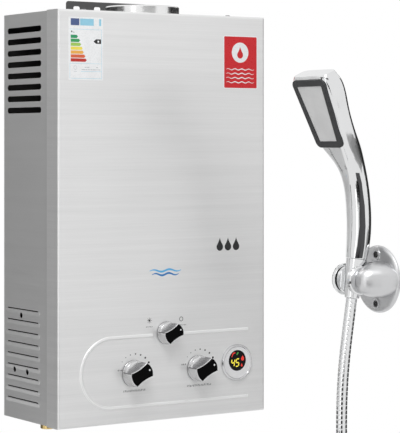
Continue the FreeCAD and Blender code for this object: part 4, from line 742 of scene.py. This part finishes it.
def grip_outline(radius, half_end, half_waist, steps=14):
    """The bow-tie seen from the front: round ends on the knob's circle and hollow flanks."""
    end = math.asin(half_end / radius)
    across = radius * math.cos(end)
    sag = half_end - half_waist
    flank = (across ** 2 + sag ** 2) / (2 * sag)
    reach = math.asin(across / flank)
    outline = [(radius * math.cos(t), radius * math.sin(t))
               for t in (end * (2 * k / steps - 1) for k in range(steps + 1))]
    outline += [(flank * math.sin(t), half_waist + flank - flank * math.cos(t))
                for t in (reach * (1 - 2 * k / steps) for k in range(1, steps))]
    outline += [(-radius * math.cos(t), -radius * math.sin(t))
                for t in (end * (2 * k / steps - 1) for k in range(steps + 1))]
    outline += [(-flank * math.sin(t), -(half_waist + flank - flank * math.cos(t)))
                for t in (reach * (1 - 2 * k / steps) for k in range(1, steps))]
    return outline


def scaled_outline(outline, inset):
    """The outline drawn in by about this much."""
    drawn, count = [], len(outline)
    for index, (x, y) in enumerate(outline):
        before, after = Vector(outline[index - 1]), Vector(outline[(index + 1) % count])
        along = (after - before).normalized()
        drawn.append((x - along.y * inset, y + along.x * inset))
    return drawn


def prism(levels):
    """Verts and faces of a closed stack of outlines of as many points: (outline, height)."""
    verts, faces, count = [], [], len(levels[0][0])
    for outline, h in levels:
        verts += [Vector((x, y, h)) for x, y in outline]
    for ring in range(len(levels) - 1):
        for k in range(count):
            a, b = ring * count + k, ring * count + (k + 1) % count
            faces.append((a, b, b + count, a + count))
    faces.append(tuple(reversed(range(count))))
    faces.append(tuple((len(levels) - 1) * count + k for k in range(count)))
    return verts, faces


def join(parts):
    """Several sets of verts and faces as one."""
    verts, faces = [], []
    for more_verts, more_faces in parts:
        start = len(verts)
        verts += more_verts
        faces += [tuple(start + index for index in face) for face in more_faces]
    return verts, faces


KNOB_ANGLE = math.radians(28)
SKIRT_SIDES = 96
FLANGE_RINGS = 5            # the skirt's first rings of faces: its foot and the flange round it, darkened as painted shade


def knob_place(cx, cv):
    """From a knob's own axes, in millimetres, to where it stands on the cover."""
    turn = Matrix.Rotation(KNOB_ANGLE, 4, "Z")
    stand = Matrix(((1, 0, 0, 0), (0, 0, -1, 0), (0, 1, 0, 0), (0, 0, 0, 1)))
    move = Matrix.Translation(front_point(cx, cv, 0.5))
    return move @ Matrix.Scale(MM, 4) @ stand @ turn


def make_knob(name, body, cx, cv, share=1.0):
    place = knob_place(cx, cv) @ Matrix.Scale(share, 4)
    skirt = [(16.6, 0), (19.1, 0), (19.2, 0.35), (19.2, 1.15), (18.95, 1.5), (18.35, 1.75)]
    skirt += [(18.35, h) for h in (3.0, 5.5, 7.6)] + [(18.1, 8.4), (17.5, 8.85), (16.6, 9.0), (3.4, 9.0)]
    sides = SKIRT_SIDES
    verts, faces = lathe([(3.4, 0)] + skirt, sides, cap=False)
    start = len(skirt) * sides
    faces += [(k, start + k, start + (k + 1) % sides, (k + 1) % sides) for k in range(sides)]
    for vert in verts:                       # fine grooves round the skirt
        r = math.hypot(vert.x, vert.y)
        if 2.0 < vert.z < 8.0 and r > 18:
            turn = math.atan2(vert.y, vert.x)
            dip = 0.16 * (0.5 - 0.5 * math.cos(turn * 32))
            vert.x, vert.y = vert.x * (1 - dip / r), vert.y * (1 - dip / r)
    outline = grip_outline(18.5, 11.3, 9.6)
    grip = prism([(outline, 1.8), (outline, 22.9), (scaled_outline(outline, 0.25), 23.55),
                  (scaled_outline(outline, 0.85), 23.9), (scaled_outline(outline, 1.1), 23.6)])
    skirt_faces, flanks_end = len(faces), len(faces) + len(outline)
    verts, faces = join([(verts, faces), grip])
    knob = link_mesh(f"{name}_turned", [place @ v for v in verts], faces,
                     [KNOB_SATIN.material, KNOB_FLANK.material])
    # The foot and flange of the skirt take the flanks' darker material as painted shade where the knob
    # meets the cover.
    for polygon in knob.data.polygons[:SKIRT_SIDES * FLANGE_RINGS]:      # painted shade: darker like the flanks
        polygon.material_index = 1
    for polygon in knob.data.polygons[skirt_faces:flanks_end]:
        across = place.to_3x3().inverted() @ polygon.normal
        if abs(across.normalized().y) > 0.5:
            polygon.material_index = 1
    ride(sharpen(knob, 35), body, (name,))
    cap = prism([(scaled_outline(outline, 1.1), 23.0), (scaled_outline(outline, 1.15), 23.95),
                 (scaled_outline(outline, 1.5), 24.35), (scaled_outline(outline, 2.3), 24.5)])
    face = link_mesh(f"{name}_cap", [place @ v for v in cap[0]], cap[1], [KNOB_FACE.material])
    ride(sharpen(face, 50), body, (f"{name}_face",))
    spot = lathe([(1.35, 24.3), (1.35, 24.56), (1.0, 24.66), (0.3, 24.7)], 24)
    verts = [place @ (v + Vector((13.6, 0, 0))) for v in spot[0]]
    ride(sharpen(link_mesh(f"{name}_spot", verts, spot[1], [PAPER.material]), 40), body)


def make_display():
    """The recess round the window, two lit digits and the lit signs beside them."""
    cx, cv = 126.0, 75.0
    higher = cv + 3.0
    Marks(2.12, 0.12).strip(circle(cx, higher, 15.5, 64), circle(cx, cv, 23.3, 64)).make(
        "display_recess", RECESS, slot="silver_plastic")
    Marks(2.02, 0.12).disc(cx, higher, 15.6, 64).make("display_glass", WINDOW, slot="display_window")

    def lit(name, color, strength):
        made = Shader(name, color, 0.0, 0.4)
        made.vary_color(made.grain((1, 1, 1), 500, 2), 0.08)
        made.put("Emission Color", (*color, 1))
        made.put("Emission Strength", strength)
        return made

    def segment(marks, a, b, width, lean):
        (x0, v0), (x1, v1) = a, b
        along = Vector((x1 - x0, v1 - v0)).normalized()
        across, half = Vector((-along.y, along.x)), width / 2
        p, q = Vector(a) + along * 0.25, Vector(b) - along * 0.25
        outline = [p, p + along * half - across * half, q - along * half - across * half, q,
                   q - along * half + across * half, p + along * half + across * half]
        marks.area([(cx + o.x + lean * o.y, cv + o.y) for o in outline])

    digits, width, height = Marks(2.12, 0.05), 5.4, 10.8
    for x, lit_segments in ((-10.4, "fgbc"), (-2.4, "afgcd")):
        y = -5.6
        a, b, c = (x, y + height), (x + width, y + height), (x + width, y + height / 2)
        e, f, g = (x + width, y), (x, y), (x, y + height / 2)
        spans = {"a": (a, b), "b": (b, c), "c": (c, e), "d": (f, e), "f": (a, g), "g": (g, c)}
        for letter in lit_segments:
            segment(digits, *spans[letter], 1.7, 0.16)
    digits.make("display_digits", lit("lit_yellow", (0.85, 0.72, 0.06), 0.55), slot="display_window")
    red = Marks(2.12, 0.05)
    red.area(wavy(cx - 6.2, higher + 10.0, 6.8, 1.0, 2.2, 0.5, 0.5))
    red.area(drop(cx + 9.6, higher - 0.8, 5.6, 8.2)).area(drop(cx + 8.0, higher - 9.6, 3.4, 5.4))
    red.bar(cx - 9.2, higher + 7.0, 3.4, 1.5, math.radians(60))
    red.make("display_signs_red", lit("lit_red", (0.75, 0.03, 0.02), 0.35), slot="display_window")
    green = Marks(2.12, 0.05).bar(cx + 0.4, higher + 10.2, 5.0, 2.1, math.radians(55))
    green.make("display_sign_green", lit("lit_green", (0.05, 0.30, 0.05), 0.2), slot="display_window")


make_ridge()
make_class_label()
make_red_label()
make_emblems()
make_scales()
make_knob("gas_knob", "gas_control", -54.0, 71.0)
make_knob("water_knob", "water_control", 57.5, 71.0)
make_knob("selector_knob", "season_control", 2.5, 126.0, 0.87)
make_display()


# ------------------------------------------------------------------------------------------------
# Lights and surroundings
# ------------------------------------------------------------------------------------------------
SOFT_LEVEL = 0.60


def white_rays(tree):
    """1 for the rays that show the background: the camera's, and those that gloss and glass send."""
    paths = tree.nodes.new("ShaderNodeLightPath")
    total = paths.outputs["Is Camera Ray"]
    for kind in ("Is Glossy Ray", "Is Transmission Ray"):
        more = tree.nodes.new("ShaderNodeMath")
        more.operation = "MAXIMUM"
        tree.links.new(total, more.inputs[0])
        tree.links.new(paths.outputs[kind], more.inputs[1])
        total = more.outputs[0]
    return total


def make_world():
    world = bpy.data.worlds.new("studio")
    scene.world = world
    world.use_nodes = True
    tree = world.node_tree
    level = tree.nodes.new("ShaderNodeMath")
    level.operation = "MAXIMUM"
    tree.links.new(white_rays(tree), level.inputs[0])
    level.inputs[1].default_value = SOFT_LEVEL
    background = tree.nodes["Background"]
    background.inputs["Color"].default_value = (1, 1, 1, 1)
    tree.links.new(level.outputs[0], background.inputs["Strength"])


def card(name, azimuth, spread, low, high, shades, distance=1.5):
    """An upright card round the object that the camera doesn't see. Azimuths are in degrees, from straight
    ahead towards the left, and its shades start at the edge that has the larger one."""
    steps = 12
    verts, faces = [], []
    for step in range(steps + 1):
        turn = math.radians(azimuth + spread * (0.5 - step / steps))
        x, y = -distance * math.sin(turn), -0.25 - distance * math.cos(turn)
        verts += [(x, y, low), (x, y, high)]
    for step in range(steps):
        faces.append((2 * step, 2 * step + 1, 2 * step + 3, 2 * step + 2))
    indices = [min(len(shades) - 1, step * len(shades) // steps) for step in range(steps)]
    made = []
    for index, shade in enumerate(shades):
        cloth = Shader(f"{name}_{index}", (shade, shade, shade), 0.0, 0.9)
        cloth.vary_color(cloth.grain((1, 1, 1), 20, 3, 0.5), 0.04)
        made.append(cloth.material)
    piece = link_mesh(name, verts, faces, made, smooth=False, indices=indices)
    piece.visible_camera = False


def area_light(name, location, target, size, power, size_y=None):
    data = bpy.data.lights.new(name, "AREA")
    data.energy = power
    data.size = size
    if size_y:
        data.shape = "RECTANGLE"
        data.size_y = size_y
    light = bpy.data.objects.new(name, data)
    light.location = location
    light.rotation_euler = (Vector(target) - Vector(location)).to_track_quat("-Z", "Y").to_euler()
    scene.collection.objects.link(light)
    return light


def make_floor():
    """A plain pale floor well below the heater, white to the camera."""
    half, level = 4.0, -1.05
    corners = [(-half, -half, level), (half, -half, level), (half, half, level), (-half, half, level)]
    made = Shader("pale_floor", (0.80, 0.80, 0.80), 0.0, 0.8)
    made.vary_color(made.grain((1, 1, 1), 8, 3, 0.5), 0.02)
    glow = made.new("ShaderNodeEmission")
    mixed = made.new("ShaderNodeMixShader")
    made.link(white_rays(made.tree), mixed.inputs["Fac"])
    made.link(made.bsdf.outputs["BSDF"], mixed.inputs[1])
    made.link(glow.outputs["Emission"], mixed.inputs[2])
    made.link(mixed.outputs["Shader"], made.tree.nodes["Material Output"].inputs["Surface"])
    link_mesh("floor", corners, [(0, 1, 2, 3)], [made.material], smooth=False)


make_world()
make_floor()
area_light("key", (-0.85, -1.35, 1.15), (-0.15, -0.15, -0.1), 0.9, 20)
area_light("bend_strip", (-1.86, -1.27, -0.3), (-0.17, -0.16, -0.3), 0.3, 2, size_y=1.6)
card("card_right", -86, 52, -0.95, 0.35, (0.12, 0.02, 0.02, 0.02, 0.04, 0.30))
card("card_right_high", -112, 84, 0.02, 0.35, (0.02, 0.03, 0.02, 0.04), 1.4)
card("card_right_low", -52, 20, -0.95, -0.42, (0.70, 0.50, 0.30))
card("card_left_high", 145, 104, 0.02, 0.35, (0.04, 0.03, 0.03, 0.04))
card("card_left", 146, 64, -0.95, 0.02, (0.20, 0.12, 0.10, 0.14))
card("card_front_high", 10, 44, 0.10, 0.35, (0.14, 0.08, 0.12))
card("card_front_low", 28, 40, -0.95, -0.54, (0.05, 0.03, 0.05), 1.45)

scene.view_settings.view_transform = "Standard"
